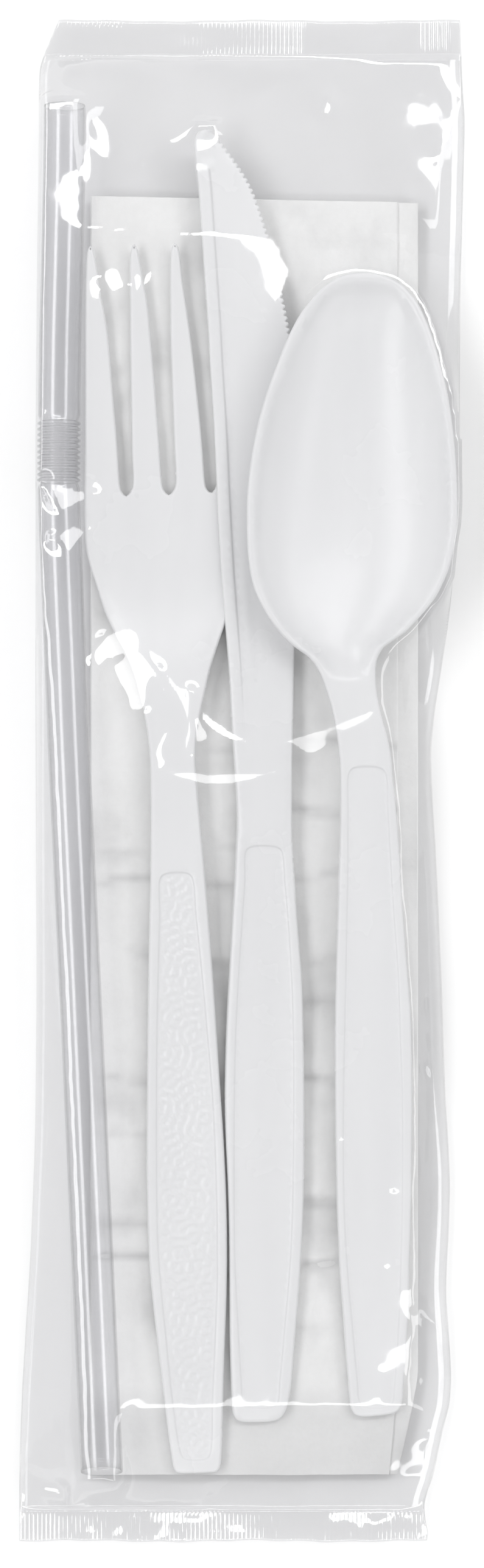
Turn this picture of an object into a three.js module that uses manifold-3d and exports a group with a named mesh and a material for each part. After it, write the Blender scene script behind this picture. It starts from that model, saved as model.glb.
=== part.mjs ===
// Sealed cutlery pack: a clear film tube crimped shut at both ends, holding a bendy
// straw, a fork, a knife, a spoon and a folded paper napkin.
//
// Frame, in millimetres: the pack lies on its back. X runs across the pack, Y along it
// (the tines and the knife's point are at +Y), Z is up. The origin is the centre of the
// footprint, on the surface that the pack lies on.
import * as THREE from 'three';
import { mergeVertices } from 'three/addons/utils/BufferGeometryUtils.js';
import Module from 'manifold-3d';

const wasm = await Module();
wasm.setup();

// ---------------------------------------------------------------- driving dimensions
const FILM = 0.2;            // film wall
const ROOM = 0.4;            // room between the film and what it covers
const GAP = 0.3;             // gap at the lap seam
const CRIMP_TOP = 105.4;     // the upper crimped seal starts here and runs to the end
const CRIMP_BOTTOM = -106.0; // the lower crimped seal starts here
const CRIMP_THICK = 0.5;
const SEAM_X = 8.0;          // line of the lap seam down the back
const SEAM_LAP = 6.0;        // how far the seam laps

const NAPKIN_Z = 1.0;        // underside of the napkin
const PLY = 0.18;            // one doubled ply of the napkin
const PLY_PITCH = 0.26;
const PANELS = 8;
const NAPKIN_LEFT = -22.3, NAPKIN_RIGHT = 25.9, NAPKIN_STEP = 22.7;
const NAPKIN_TOP = 84.9, NAPKIN_BOTTOM = -100.9;

const BASE_Z = 3.3;          // underside of cutlery that lies on the napkin
const FORK_HANDLE_THICK = 1.6, FORK_HEAD_THICK = 1.15;
const KNIFE_SLOPE = 0.0125;  // the knife climbs over the fork's outer tine
const KNIFE_END = -92.6;
const KNIFE_HANDLE_THICK = 1.6, KNIFE_SPINE_THICK = 1.3, KNIFE_EDGE_THICK = 0.6;
const TEETH_FROM = 93.2, TEETH_TO = 36.0, TOOTH_PITCH = 0.75, TOOTH_DEPTH = 0.28;
const SPOON_RIM_Z = 11.4, SPOON_DEPTH = 6.0, SPOON_WALL = 1.1, SPOON_HANDLE_THICK = 1.5;
const RECESS = 0.45;         // depth of the panel let into each handle

const STRAW_R = 2.95, STRAW_WALL = 0.22;
const STRAW_TOP = 97.7, STRAW_BOTTOM = -99.4;
const NECK_FROM = 43.4, NECK_TO = 51.6, NECK_RIBS = 10;

// Outlines, in millimetres: [y, left x, right x] down each piece.
const FORK = [
  [78.05, -22.7, -3.12], [74.17, -22.84, -2.77], [68.89, -22.88, -2.24], [55.69, -22.92, -0.84], [42.49, -22.92, 0.48],
  [37.21, -22.92, 0.84], [34.84, -22.84, 0.84], [32.81, -22.4, 0.66], [30.35, -21.52, 0.13], [27.09, -20.37, -0.92],
  [23.66, -19.05, -2.24], [20.93, -17.82, -3.3], [18.65, -16.85, -3.92], [15.57, -15.27, -4.71], [12.49, -14.65, -5.59],
  [9.85, -14.12, -6.12], [6.59, -13.68, -6.47], [3.25, -13.29, -6.64], [-1.51, -13.24, -6.47], [-7.31, -13.24, -6.03],
  [-13.3, -13.33, -5.59], [-19.11, -13.51, -5.06], [-27.91, -13.77, -4.18], [-36.71, -13.95, -3.48], [-45.51, -14.04, -3.04],
  [-54.31, -14.04, -2.55], [-58.71, -13.9, -2.33], [-63.11, -13.77, -2.2], [-68.39, -13.6, -2.16], [-71.91, -13.33, -2.2],
  [-80.71, -12.36, -2.46], [-89.51, -11.22, -2.68], [-94.79, -10.6, -2.86], [-98.31, -10.21, -3.04], [-99.36, -10.08, -3.17],
  [-99.98, -9.72, -3.56], [-100.24, -9.28, -4.0],
];
// Slots between the tines: lowest point and radius of the round bottom, then the side
// walls from the bottom up, [x, y].
const SLOTS = [
  { bot: [-16.81, 41.17, 0.92],
    left: [[-17.64, 42.49], [-18.08, 47.77], [-18.79, 55.69], [-19.49, 63.61], [-20.11, 68.89], [-20.72, 72.41], [-21.16, 75.05], [-21.43, 76.64], [-21.87, 77.52], [-21.96, 78.57]],
    right: [[-15.88, 42.49], [-16.06, 51.29], [-16.24, 60.09], [-16.32, 68.89], [-16.32, 73.29], [-16.28, 75.93], [-16.15, 77.17], [-15.71, 77.87], [-15.66, 78.57]] },
  { bot: [-10.6, 41.44, 0.92],
    left: [[-11.57, 42.49], [-12.01, 47.77], [-12.63, 56.57], [-13.24, 63.61], [-13.77, 68.89], [-14.3, 72.41], [-14.74, 74.61], [-15.09, 76.64], [-15.62, 77.78], [-15.66, 78.57]],
    right: [[-9.64, 42.49], [-9.99, 51.29], [-10.25, 60.09], [-10.43, 68.89], [-10.43, 73.29], [-10.43, 75.93], [-10.25, 77.25], [-9.81, 78.05], [-9.81, 78.57]] },
  { bot: [-4.53, 41.79, 0.84],
    left: [[-5.37, 42.93], [-5.85, 47.77], [-6.56, 56.57], [-7.35, 63.61], [-7.88, 68.89], [-8.4, 72.41], [-8.84, 75.05], [-9.2, 76.99], [-9.72, 78.05], [-9.77, 78.57]],
    right: [[-3.74, 42.93], [-4.0, 51.29], [-4.27, 60.09], [-4.53, 68.89], [-4.62, 73.29], [-4.62, 75.93], [-4.44, 77.25], [-4.0, 78.13], [-4.0, 78.57]] },
];
const FORK_PANEL = [
  [-13.3, -11.84, -7.17], [-19.11, -11.92, -6.64], [-27.91, -12.19, -5.76], [-36.71, -12.36, -4.97], [-45.51, -12.45, -4.27],
  [-54.31, -12.5, -3.83], [-63.11, -12.36, -3.65], [-68.39, -12.19, -3.56], [-71.91, -11.92, -3.56], [-80.71, -11.04, -3.92],
  [-89.51, -10.08, -4.27], [-98.04, -8.84, -4.71],
];
const KNIFE = [
  [94.12, -5.31, -5.26], [93.86, -5.83, -4.69], [93.33, -6.27, -3.68], [92.1, -6.71, -2.76], [89.82, -6.67, -1.1],
  [87.54, -6.54, 0.39], [85.26, -6.36, 1.62], [82.02, -6.14, 2.94], [76.66, -5.75, 4.52], [71.14, -5.35, 5.83],
  [65.61, -5.0, 7.06], [59.91, -4.61, 7.59], [51.13, -4.08, 7.76], [41.48, -3.55, 7.85], [33.59, -3.11, 7.85],
  [23.59, -2.63, 7.76], [16.04, -2.06, 7.68], [7.27, -1.45, 7.41], [2.01, -1.1, 7.24], [-2.38, -0.88, 7.15],
  [-8.52, -0.88, 7.33], [-13.78, -1.18, 7.59], [-19.05, -1.54, 8.03], [-27.82, -2.06, 8.64], [-32.21, -2.24, 8.82],
  [-40.98, -2.43, 8.99], [-49.75, -2.39, 9.04], [-54.14, -2.24, 9.01], [-58.53, -2.03, 8.95], [-62.91, -1.85, 8.86],
  [-67.3, -1.78, 8.69], [-71.69, -1.75, 8.47], [-79.93, -1.75, 7.76], [-87.48, -1.58, 6.97], [-90.81, -1.45, 6.45],
  [-91.86, -1.18, 5.83], [-92.39, -0.57, 4.78], [-92.61, 1.1, 3.29],
];
const KNIFE_PANEL = [
  [-9.57, 0.57, 5.66], [-13.78, 0.39, 6.01], [-19.05, 0.09, 6.45], [-27.82, -0.48, 7.06], [-32.21, -0.66, 7.24],
  [-40.98, -1.01, 7.41], [-49.75, -1.14, 7.41], [-58.53, -1.18, 7.33], [-67.3, -1.18, 7.06], [-71.69, -1.05, 6.71],
  [-79.93, -0.57, 6.01], [-87.48, -0.13, 5.4], [-90.28, 0.13, 5.13],
];
const SPOON = [
  [72.63, 16.69, 18.59], [72.37, 14.95, 20.07], [71.76, 13.05, 21.45], [70.46, 11.14, 23.1], [68.73, 9.41, 24.66],
  [66.12, 7.76, 25.96], [62.66, 6.11, 27.35], [59.19, 4.77, 28.39], [54.86, 3.25, 29.34], [50.52, 2.12, 30.08],
  [45.32, 1.34, 30.56], [39.25, 0.82, 30.82], [33.18, 1.0, 30.38], [30.15, 1.52, 29.78], [27.55, 2.38, 28.91],
  [24.52, 3.77, 27.09], [22.78, 4.81, 25.7], [21.05, 6.28, 23.88], [19.75, 7.59, 22.32], [18.79, 8.71, 21.02],
  [18.01, 9.67, 20.15], [17.15, 10.62, 19.46], [16.35, 11.36, 19.24], [15.05, 12.14, 19.06], [13.3, 12.84, 19.28],
  [11.56, 13.36, 19.8], [8.95, 13.8, 20.59], [4.6, 14.02, 21.3], [-1.5, 14.12, 21.92], [-4.98, 14.04, 22.19],
  [-10.22, 13.91, 22.55], [-18.96, 13.75, 23.01], [-27.72, 13.46, 23.81], [-36.49, 13.3, 24.27], [-44.39, 13.26, 24.51],
  [-54.08, 13.41, 24.54], [-58.48, 13.54, 24.5], [-67.31, 13.95, 24.39], [-71.73, 14.13, 24.18], [-80.58, 14.8, 23.63],
  [-89.44, 15.57, 23.26], [-91.04, 15.79, 22.96], [-91.75, 16.32, 22.3], [-92.02, 17.11, 21.51],
];
const SPOON_PANEL = [
  [1.82, 15.29, 20.43], [-4.98, 15.13, 21.06], [-10.22, 15.14, 21.33], [-18.96, 15.06, 21.87], [-27.72, 14.9, 22.42],
  [-36.49, 14.74, 22.7], [-44.39, 14.58, 23.07], [-54.08, 14.5, 23.18], [-58.48, 14.6, 23.1], [-67.31, 14.87, 23.03],
  [-71.73, 15.23, 22.87], [-80.58, 16.03, 22.54], [-89.44, 16.84, 21.94],
];
const STRAW = [
  [97.03, -25.62], [86.53, -26.06], [77.71, -26.18], [64.48, -26.31], [51.62, -26.45],
  [43.34, -26.44], [33.66, -26.06], [20.46, -25.46], [-1.5, -24.59], [-27.83, -23.43],
  [-45.36, -22.63], [-67.25, -21.61], [-84.75, -20.81], [-98.82, -20.19],
];       // [y, centre x]
const FILM_LEFT = [
  [110.56, -26.62], [108.35, -27.69], [103.21, -29.46], [95.95, -29.5], [78.23, -29.64],
  [60.51, -29.9], [47.22, -30.04], [38.36, -30.08], [16.21, -30.08], [-1.51, -29.99],
  [-28.09, -29.9], [-41.38, -29.99], [-52.01, -30.17], [-63.53, -30.57], [-68.85, -30.79],
  [-80.37, -31.5], [-91.88, -32.12], [-101.63, -32.38], [-106.95, -32.38], [-110.05, -32.38],
];   // [y, x]
const FILM_RIGHT = [
  [110.92, 31.41], [106.58, 31.67], [100.46, 32.03], [95.95, 32.38], [87.09, 32.21],
  [73.8, 31.85], [66.71, 31.67], [56.08, 31.76], [51.65, 31.85], [40.13, 31.94],
  [33.93, 31.5], [25.07, 30.43], [16.21, 29.19], [9.12, 27.95], [3.8, 27.51],
  [-1.51, 27.69], [-10.37, 28.22], [-28.09, 29.02], [-44.04, 29.55], [-59.1, 30.26],
  [-70.62, 29.81], [-73.9, 29.64], [-81.25, 30.17], [-87.28, 30.43], [-94.54, 29.19],
  [-100.74, 27.69], [-105.71, 26.54], [-107.83, 26.71], [-110.76, 26.98],
];

// ---------------------------------------------------------------- helpers
function lerpTable(table, y, col) {
  const n = table.length;
  if (y >= table[0][0]) return table[0][col];
  if (y <= table[n - 1][0]) return table[n - 1][col];
  for (let i = 1; i < n; i++) {
    if (y >= table[i][0]) {
      const a = table[i - 1], b = table[i];
      const t = (a[0] - y) / (a[0] - b[0]);
      return a[col] + (b[col] - a[col]) * t;
    }
  }
  return table[n - 1][col];
}

function curve(points, y) {          // points: [y, value], y rising
  if (y <= points[0][0]) return points[0][1];
  for (let i = 1; i < points.length; i++) {
    if (y <= points[i][0]) {
      const [y0, v0] = points[i - 1], [y1, v1] = points[i];
      const t = (y - y0) / (y1 - y0), s = t * t * (3 - 2 * t);
      return v0 + (v1 - v0) * s;
    }
  }
  return points[points.length - 1][1];
}

// A box divided nx by ny, each vertex moved by fn(i, j, w): column, row, 0 below or 1 above.
function slab(nx, ny, fn) {
  const g = new THREE.BoxGeometry(1, 1, 1, nx, ny, 1);
  const p = g.attributes.position;
  for (let k = 0; k < p.count; k++) {
    const i = Math.round((p.getX(k) + 0.5) * nx);
    const j = Math.round((0.5 - p.getY(k)) * ny);
    const w = p.getZ(k) > 0 ? 1 : 0;
    const [x, y, z] = fn(i, j, w);
    p.setXYZ(k, x, y, z);
  }
  return g;
}

function solid(geometry) {
  let g = geometry.clone();
  for (const name of Object.keys(g.attributes)) if (name !== 'position') g.deleteAttribute(name);
  g = mergeVertices(g, 1e-4);
  const vertProperties = new Float32Array(g.attributes.position.array);
  const triVerts = new Uint32Array(g.index.array);
  const mesh = new wasm.Mesh({ numProp: 3, vertProperties, triVerts });
  mesh.merge();
  return new wasm.Manifold(mesh);
}

function geometryOf(manifold) {
  const m = manifold.getMesh();
  const g = new THREE.BufferGeometry();
  g.setAttribute('position', new THREE.BufferAttribute(new Float32Array(m.vertProperties), 3));
  g.setIndex(new THREE.BufferAttribute(new Uint32Array(m.triVerts), 1));
  g.computeVertexNormals();
  return g;
}

function prism(points, z0, z1) {
  const shape = new THREE.Shape(points.map(([x, y]) => new THREE.Vector2(x, y)));
  const g = new THREE.ExtrudeGeometry(shape, { depth: z1 - z0, bevelEnabled: false, steps: 1 });
  g.translate(0, 0, z0);
  return g;
}

function box(x0, x1, y0, y1, z0, z1) {
  const g = new THREE.BoxGeometry(x1 - x0, y1 - y0, z1 - z0);
  g.translate((x0 + x1) / 2, (y0 + y1) / 2, (z0 + z1) / 2);
  return g;
}

// ---------------------------------------------------------------- fork
const forkUnder = (y) => curve([[-100, BASE_Z], [-50, 3.9], [0, 4.3], [10, 4.3], [22, 3.45],
  [34, BASE_Z], [58, BASE_Z], [78, 3.9]], y);
const forkThick = (y) => curve([[-20, FORK_HANDLE_THICK], [25, FORK_HEAD_THICK], [60, FORK_HEAD_THICK], [78, 0.9]], y);
function fork() {
  const n = FORK.length - 1;
  const f = [0, 0.12, 0.5, 0.88, 1];
  let s = solid(slab(4, n, (i, j, w) => {
    const [y, l, r] = FORK[j];
    const x = l + (r - l) * f[i];
    const edge = (i === 0 || i === 4) ? 0.25 : 0;
    const z = forkUnder(y) + (w ? forkThick(y) - edge : edge * 0.6);
    return [x, y, z];
  }));
  for (const slot of SLOTS) {
    const [bx, by, r] = slot.bot;
    const pts = [...slot.left].reverse();
    for (let k = 0; k <= 8; k++) {
      const a = Math.PI + (Math.PI * k) / 8;
      pts.push([bx + r * Math.cos(a), by + r + r * Math.sin(a)]);
    }
    pts.push(...slot.right);
    s = s.subtract(solid(prism(pts, 0, 12)));
  }
  const m = FORK_PANEL.length - 1;
  s = s.subtract(solid(slab(1, m, (i, j, w) => {
    const [y, l, r] = FORK_PANEL[j];
    return [i ? r : l, y, w ? 14 : forkUnder(y) + forkThick(y) - RECESS];
  })));
  return geometryOf(s);
}
const forkTop = (x, y) => {
  if (y > 78.1 || y < -100.3) return -1;
  const l = lerpTable(FORK, y, 1), r = lerpTable(FORK, y, 2);
  return x < l || x > r ? -1 : forkUnder(y) + forkThick(y);
};

// ---------------------------------------------------------------- knife
const knifeUnder = (y) => BASE_Z + KNIFE_SLOPE * (y - KNIFE_END);
const knifeThick = (x, y) => {
  const blade = curve([[-15, 0], [25, 1]], y);
  const l = lerpTable(KNIFE, y, 1), r = lerpTable(KNIFE, y, 2);
  const t = r - l > 0.5 ? (x - l) / (r - l) : 0.5;
  const bladeThick = KNIFE_SPINE_THICK + (KNIFE_EDGE_THICK - KNIFE_SPINE_THICK) * Math.min(1, Math.max(0, t));
  return KNIFE_HANDLE_THICK * (1 - blade) + bladeThick * blade;
};
function knife() {
  const rows = [];                            // [y, right x]
  for (const [y, , r] of KNIFE) if (y > TEETH_FROM + 0.1 || y < TEETH_TO - 0.3) rows.push([y, r]);
  const count = Math.round((TEETH_FROM - TEETH_TO) / TOOTH_PITCH);
  for (let k = 0; k < count; k++) {
    const y = TEETH_FROM - k * TOOTH_PITCH, valley = y - TOOTH_PITCH * 0.6;
    rows.push([y, lerpTable(KNIFE, y, 2)], [valley, lerpTable(KNIFE, valley, 2) - TOOTH_DEPTH]);
  }
  rows.sort((a, b) => b[0] - a[0]);
  const g = slab(2, rows.length - 1, (i, j, w) => {
    const [y, r] = rows[j], l = lerpTable(KNIFE, y, 1);
    const x = [l, l + Math.min(1.3, (r - l) / 2), r][i];
    return [x, y, knifeUnder(y) + (w ? knifeThick(x, y) : 0)];
  });
  let s = solid(g);
  const m = KNIFE_PANEL.length - 1;
  s = s.subtract(solid(slab(1, m, (i, j, w) => {
    const [y, l, r] = KNIFE_PANEL[j];
    return [i ? r : l, y, w ? 14 : knifeUnder(y) + KNIFE_HANDLE_THICK - RECESS];
  })));
  return geometryOf(s);
}
const knifeTop = (x, y) => {
  if (y > 94.2 || y < -92.7) return -1;
  const l = lerpTable(KNIFE, y, 1), r = lerpTable(KNIFE, y, 2);
  return x < l || x > r ? -1 : knifeUnder(y) + knifeThick(x, y);
};

// ---------------------------------------------------------------- spoon
const spoonRim = (y) => curve([[-92, BASE_Z + SPOON_HANDLE_THICK], [-60, 6.4], [-20, 8.4], [14, 10.6],
  [30, 11.3], [48, SPOON_RIM_Z], [73, 10.8]], y);
const bowlDepth = (y) => {
  const t = (y - 45) / (y > 45 ? 26.8 : 30);
  return SPOON_DEPTH * Math.pow(Math.max(0, 1 - t * t), 0.75);
};
const spoonSurface = (x, y) => {
  const l = lerpTable(SPOON, y, 1), r = lerpTable(SPOON, y, 2);
  const half = (r - l) / 2, c = (r + l) / 2;
  const inner = half - 1.1;
  const q = inner > 0.5 ? Math.min(1, Math.abs(x - c) / inner) : 1;
  return spoonRim(y) - bowlDepth(y) * Math.pow(1 - q * q, 0.85);
};
const SPOON_COLS = [0, 0.075, 0.14, 0.22, 0.33, 0.5, 0.67, 0.78, 0.86, 0.925, 1];
function spoon() {
  const n = SPOON.length - 1, c = SPOON_COLS.length - 1;
  let s = solid(slab(c, n, (i, j, w) => {
    const [y, l, r] = SPOON[j];
    const x = l + (r - l) * SPOON_COLS[i];
    const thick = curve([[-10, SPOON_HANDLE_THICK], [25, SPOON_WALL]], y);
    const edge = (i === 0 || i === c) ? 0.2 : 0;
    return [x, y, spoonSurface(x, y) - (w ? edge : thick - edge)];
  }));
  const m = SPOON_PANEL.length - 1;
  s = s.subtract(solid(slab(1, m, (i, j, w) => {
    const [y, l, r] = SPOON_PANEL[j];
    return [i ? r : l, y, w ? 16 : spoonRim(y) - RECESS];
  })));
  return geometryOf(s);
}
const spoonTop = (x, y) => {
  if (y > 72.7 || y < -92.1) return -1;
  const l = lerpTable(SPOON, y, 1), r = lerpTable(SPOON, y, 2);
  return x < l || x > r ? -1 : spoonSurface(x, y);
};

// ---------------------------------------------------------------- straw
const strawX = (y) => lerpTable(STRAW, y, 1);
const strawZ = (y) => 4.5 + (STRAW_TOP - y) / (STRAW_TOP - STRAW_BOTTOM) * 2.5;
function straw() {
  const outer = [], inner = [];
  const pitch = (NECK_TO - NECK_FROM) / NECK_RIBS;
  const ys = [STRAW_BOTTOM, -67, -34, 0, 20, 34];
  for (const y of ys) { outer.push([STRAW_R, y]); inner.push([STRAW_R - STRAW_WALL, y]); }
  for (let k = 0; k <= NECK_RIBS; k++) {
    const y = NECK_FROM + k * pitch;
    outer.push([STRAW_R - 0.3, y]); inner.push([STRAW_R - 0.3 - STRAW_WALL, y]);
    if (k < NECK_RIBS) {
      outer.push([STRAW_R + 0.05, y + pitch / 2]); inner.push([STRAW_R + 0.05 - STRAW_WALL, y + pitch / 2]);
    }
  }
  for (const y of [53, 64, 78, 88, STRAW_TOP]) { outer.push([STRAW_R, y]); inner.push([STRAW_R - STRAW_WALL, y]); }
  const profile = [...outer, ...inner.reverse(), outer[0]].map(([r, y]) => new THREE.Vector2(r, y));
  const g = new THREE.LatheGeometry(profile, 20);
  const p = g.attributes.position;
  for (let k = 0; k < p.count; k++) {
    const y = p.getY(k);
    p.setXYZ(k, p.getX(k) + strawX(y), y, p.getZ(k) + strawZ(y));
  }
  return geometryOf(solid(g));
}
const strawTop = (x, y) => {
  if (y > STRAW_TOP || y < STRAW_BOTTOM) return -1;
  const d = Math.abs(x - strawX(y)), r = STRAW_R + 0.1;
  return d > r ? -1 : strawZ(y) + Math.sqrt(r * r - d * d);
};

// ---------------------------------------------------------------- napkin
// One sheet folded to and fro into eight panels, seen in section and extruded along Y.
function napkin() {
  const mid = [];
  const r = PLY_PITCH / 2;
  const sideR = (k) => (k >= PANELS - 2 ? NAPKIN_STEP : NAPKIN_RIGHT) - PLY / 2 - r;
  const left = NAPKIN_LEFT + PLY / 2 + r;
  const z0 = NAPKIN_Z + PLY / 2;
  for (let k = 0; k < PANELS; k++) {
    const z = z0 + k * PLY_PITCH;
    const rightward = k % 2 === 0;
    const a = rightward ? left : sideR(k), b = rightward ? sideR(k) : left;
    mid.push([a, z], [b, z]);
    if (k < PANELS - 1) {
      const c = rightward ? sideR(k) : left;
      for (const deg of [-45, 0, 45]) {
        const t = (deg * Math.PI) / 180;
        mid.push([c + (rightward ? 1 : -1) * r * Math.cos(t), z + r + r * Math.sin(t)]);
      }
    }
  }
  const one = [], two = [];
  for (let k = 0; k < mid.length; k++) {
    const a = mid[Math.max(0, k - 1)], b = mid[Math.min(mid.length - 1, k + 1)];
    const dx = b[0] - a[0], dz = b[1] - a[1], len = Math.hypot(dx, dz);
    const nx = (-dz / len) * (PLY / 2), nz = (dx / len) * (PLY / 2);
    one.push([mid[k][0] + nx, mid[k][1] + nz]);
    two.push([mid[k][0] - nx, mid[k][1] - nz]);
  }
  const pts = [...one, ...two.reverse()];
  const shape = new THREE.Shape(pts.map(([x, z]) => new THREE.Vector2(x, z)));
  const g = new THREE.ExtrudeGeometry(shape, { depth: NAPKIN_TOP - NAPKIN_BOTTOM, bevelEnabled: false, steps: 1 });
  g.rotateX(Math.PI / 2);                     // section X-Z, extruded along -Y
  g.translate(0, NAPKIN_TOP, 0);
  return geometryOf(solid(g));
}
const napkinTop = (x, y) => (x < NAPKIN_LEFT || x > NAPKIN_RIGHT || y < NAPKIN_BOTTOM || y > NAPKIN_TOP ? -1
  : NAPKIN_Z + PLY + (PANELS - 1) * PLY_PITCH);

// ---------------------------------------------------------------- film
// The front of the film is drawn tight across what it covers: at each station along the
// pack it is the upper hull of the contents, between the two folded side edges.
const covered = (x, y) => Math.max(forkTop(x, y), knifeTop(x, y), spoonTop(x, y), strawTop(x, y), napkinTop(x, y));
const SIDE = [0, 0.55, 1.4, 2.8, 4.6];
const MIDDLE = 13;
function columns(left, right) {
  const out = SIDE.map((d) => left + d);
  const a = left + SIDE[SIDE.length - 1], b = right - SIDE[SIDE.length - 1];
  for (let k = 1; k < MIDDLE; k++) out.push(a + ((b - a) * k) / MIDDLE);
  out.push(...[...SIDE].reverse().map((d) => right - d));
  return out;
}
const STATIONS = [105.2, 102, 98.2, 95.5, 92, 87, 81, 75, 71, 66, 60, 53, 46, 39, 32, 25, 19, 13, 6, -2, -11, -20,
  -30, -40, -50, -60, -70, -78, -85, -91, -95, -98.5, -101.4, -105.8];
function hullHeights(y0, y1, left, right, xs) {
  const pts = [[left, 1.1]];
  for (let x = left; x <= right; x += 0.4) {
    let z = -1;
    for (let y = y0; y <= y1 + 1e-6; y += (y1 - y0) / 8) {
      for (const dx of [-ROOM, 0, ROOM]) z = Math.max(z, covered(x + dx, y));
    }
    if (z > 0) pts.push([x, z]);
  }
  pts.push([right, 1.1]);
  const hull = [];
  for (const p of pts) {
    while (hull.length >= 2) {
      const [a, b] = [hull[hull.length - 2], hull[hull.length - 1]];
      if ((b[0] - a[0]) * (p[1] - a[1]) - (b[1] - a[1]) * (p[0] - a[0]) >= 0) hull.pop(); else break;
    }
    hull.push(p);
  }
  const at = (x) => {
    for (let k = 1; k < hull.length; k++) {
      if (x <= hull[k][0] + 1e-9) {
        const [a, b] = [hull[k - 1], hull[k]];
        return b[0] - a[0] < 1e-9 ? Math.max(a[1], b[1]) : a[1] + ((b[1] - a[1]) * (x - a[0])) / (b[0] - a[0]);
      }
    }
    return 1.1;
  };
  // the film's own facets are chords of that hull, so each is lifted clear of it
  const zs = xs.map(at);
  for (let i = 1; i < xs.length - 2; i++) {
    const low = zs[i] < zs[i + 1] ? i : i + 1;
    let lift = 0;
    for (let k = 1; k < 12; k++) {
      const t = k / 12;
      const short = at(xs[i] + (xs[i + 1] - xs[i]) * t) - (zs[i] + (zs[i + 1] - zs[i]) * t);
      lift = Math.max(lift, short / (low === i ? 1 - t : t));
    }
    zs[low] += Math.min(lift, 1.5 + Math.abs(zs[i] - zs[i + 1]));
  }
  return zs;
}
function film() {
  const n = STATIONS.length;
  const innerX = [], innerZ = [];
  for (let j = 0; j < n; j++) {
    const y = STATIONS[j];
    const left = lerpTable(FILM_LEFT, y, 1) + FILM, right = lerpTable(FILM_RIGHT, y, 1) - FILM;
    const xs = columns(left, right);
    let zs;
    if (j === 0 || j === n - 1) zs = xs.map(() => FILM + 0.15);
    else {
      zs = hullHeights(STATIONS[j + 1], STATIONS[j - 1], left, right, xs).map((z) => z + ROOM);
      const k = zs.length - 1;
      zs[0] = Math.max(1.1, 0.6 * zs[1]);
      zs[k] = Math.max(1.1, 0.6 * zs[k - 1]);
    }
    innerX.push(xs); innerZ.push(zs);
  }
  const cols = innerX[0].length - 1;
  const cavity = solid(slab(cols, n - 1, (i, j, w) =>
    [innerX[j][i], STATIONS[j], w ? innerZ[j][i] : FILM]));

  const top = FILM_LEFT[0][0], bottom = FILM_LEFT[FILM_LEFT.length - 1][0];
  const rows = [{ y: top + 0.35 }, { y: 108.2 }, { y: CRIMP_TOP + 0.25 }];
  for (let j = 0; j < n; j++) rows.push({ y: STATIONS[j], j });
  rows.push({ y: CRIMP_BOTTOM - 0.2 }, { y: -108.4 }, { y: bottom - 0.86 });
  const skin = solid(slab(cols, rows.length - 1, (i, r, w) => {
    const { y, j } = rows[r];
    const left = lerpTable(FILM_LEFT, y, 1), right = lerpTable(FILM_RIGHT, y, 1);
    const t = cols / 2;
    const xs = columns(left, right);
    const x = xs[i];
    if (!w) return [x, y, 0];
    if (j === undefined) return [x, y, CRIMP_THICK];
    return [x, y, Math.max(CRIMP_THICK, innerZ[j][i] + FILM)];
  }));
  const seamSlit = solid(box(SEAM_X, SEAM_X + GAP, -103, 103, -1, FILM + 0.05));
  const seamLap = solid(box(SEAM_X - 0.6, SEAM_X + SEAM_LAP, -103, 103, FILM + GAP, 2 * FILM + GAP));
  const seamRiser = solid(box(SEAM_X - 0.6, SEAM_X - 0.2, -103, 103, FILM / 2, 2 * FILM + GAP));
  return geometryOf(skin.subtract(cavity).subtract(seamSlit).add(seamRiser.add(seamLap)).asOriginal());
}

// ---------------------------------------------------------------- the pack
const clearFilm = new THREE.MeshStandardMaterial({ color: 0xf2f4f5, roughness: 0.12, metalness: 0, transparent: true, opacity: 0.25 });
const clearTube = new THREE.MeshStandardMaterial({ color: 0xeef0f0, roughness: 0.15, metalness: 0, transparent: true, opacity: 0.4 });
const whitePlastic = new THREE.MeshStandardMaterial({ color: 0xf4f4f2, roughness: 0.35, metalness: 0 });
const whitePaper = new THREE.MeshStandardMaterial({ color: 0xe6e6e4, roughness: 0.95, metalness: 0 });

function mesh(name, geometry, material) {
  const m = new THREE.Mesh(geometry, material);
  m.name = name;
  return m;
}

const pack = new THREE.Group();
pack.name = 'cutlery_pack';
pack.add(
  mesh('film_wrapper', film(), clearFilm),
  mesh('fork', fork(), whitePlastic),
  mesh('knife', knife(), whitePlastic),
  mesh('spoon', spoon(), whitePlastic),
  mesh('straw', straw(), clearTube),
  mesh('napkin', napkin(), whitePaper),
);

export default pack;
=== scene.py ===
import math

import bpy
import numpy as np
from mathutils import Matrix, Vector
from mathutils.geometry import delaunay_2d_cdt


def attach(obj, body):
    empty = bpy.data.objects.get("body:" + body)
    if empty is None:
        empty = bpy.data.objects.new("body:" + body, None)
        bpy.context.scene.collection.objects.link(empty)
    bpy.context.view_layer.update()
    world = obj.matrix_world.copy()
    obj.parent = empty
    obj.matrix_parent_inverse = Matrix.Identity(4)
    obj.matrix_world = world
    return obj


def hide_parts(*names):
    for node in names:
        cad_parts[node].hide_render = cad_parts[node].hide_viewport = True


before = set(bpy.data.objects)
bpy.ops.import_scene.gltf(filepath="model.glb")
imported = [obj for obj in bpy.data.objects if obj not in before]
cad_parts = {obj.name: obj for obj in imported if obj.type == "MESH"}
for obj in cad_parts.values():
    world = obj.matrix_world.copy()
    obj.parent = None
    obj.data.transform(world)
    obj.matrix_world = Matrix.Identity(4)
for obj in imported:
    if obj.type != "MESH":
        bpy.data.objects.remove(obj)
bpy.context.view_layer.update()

MM = 0.001
scene = bpy.context.scene

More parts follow.
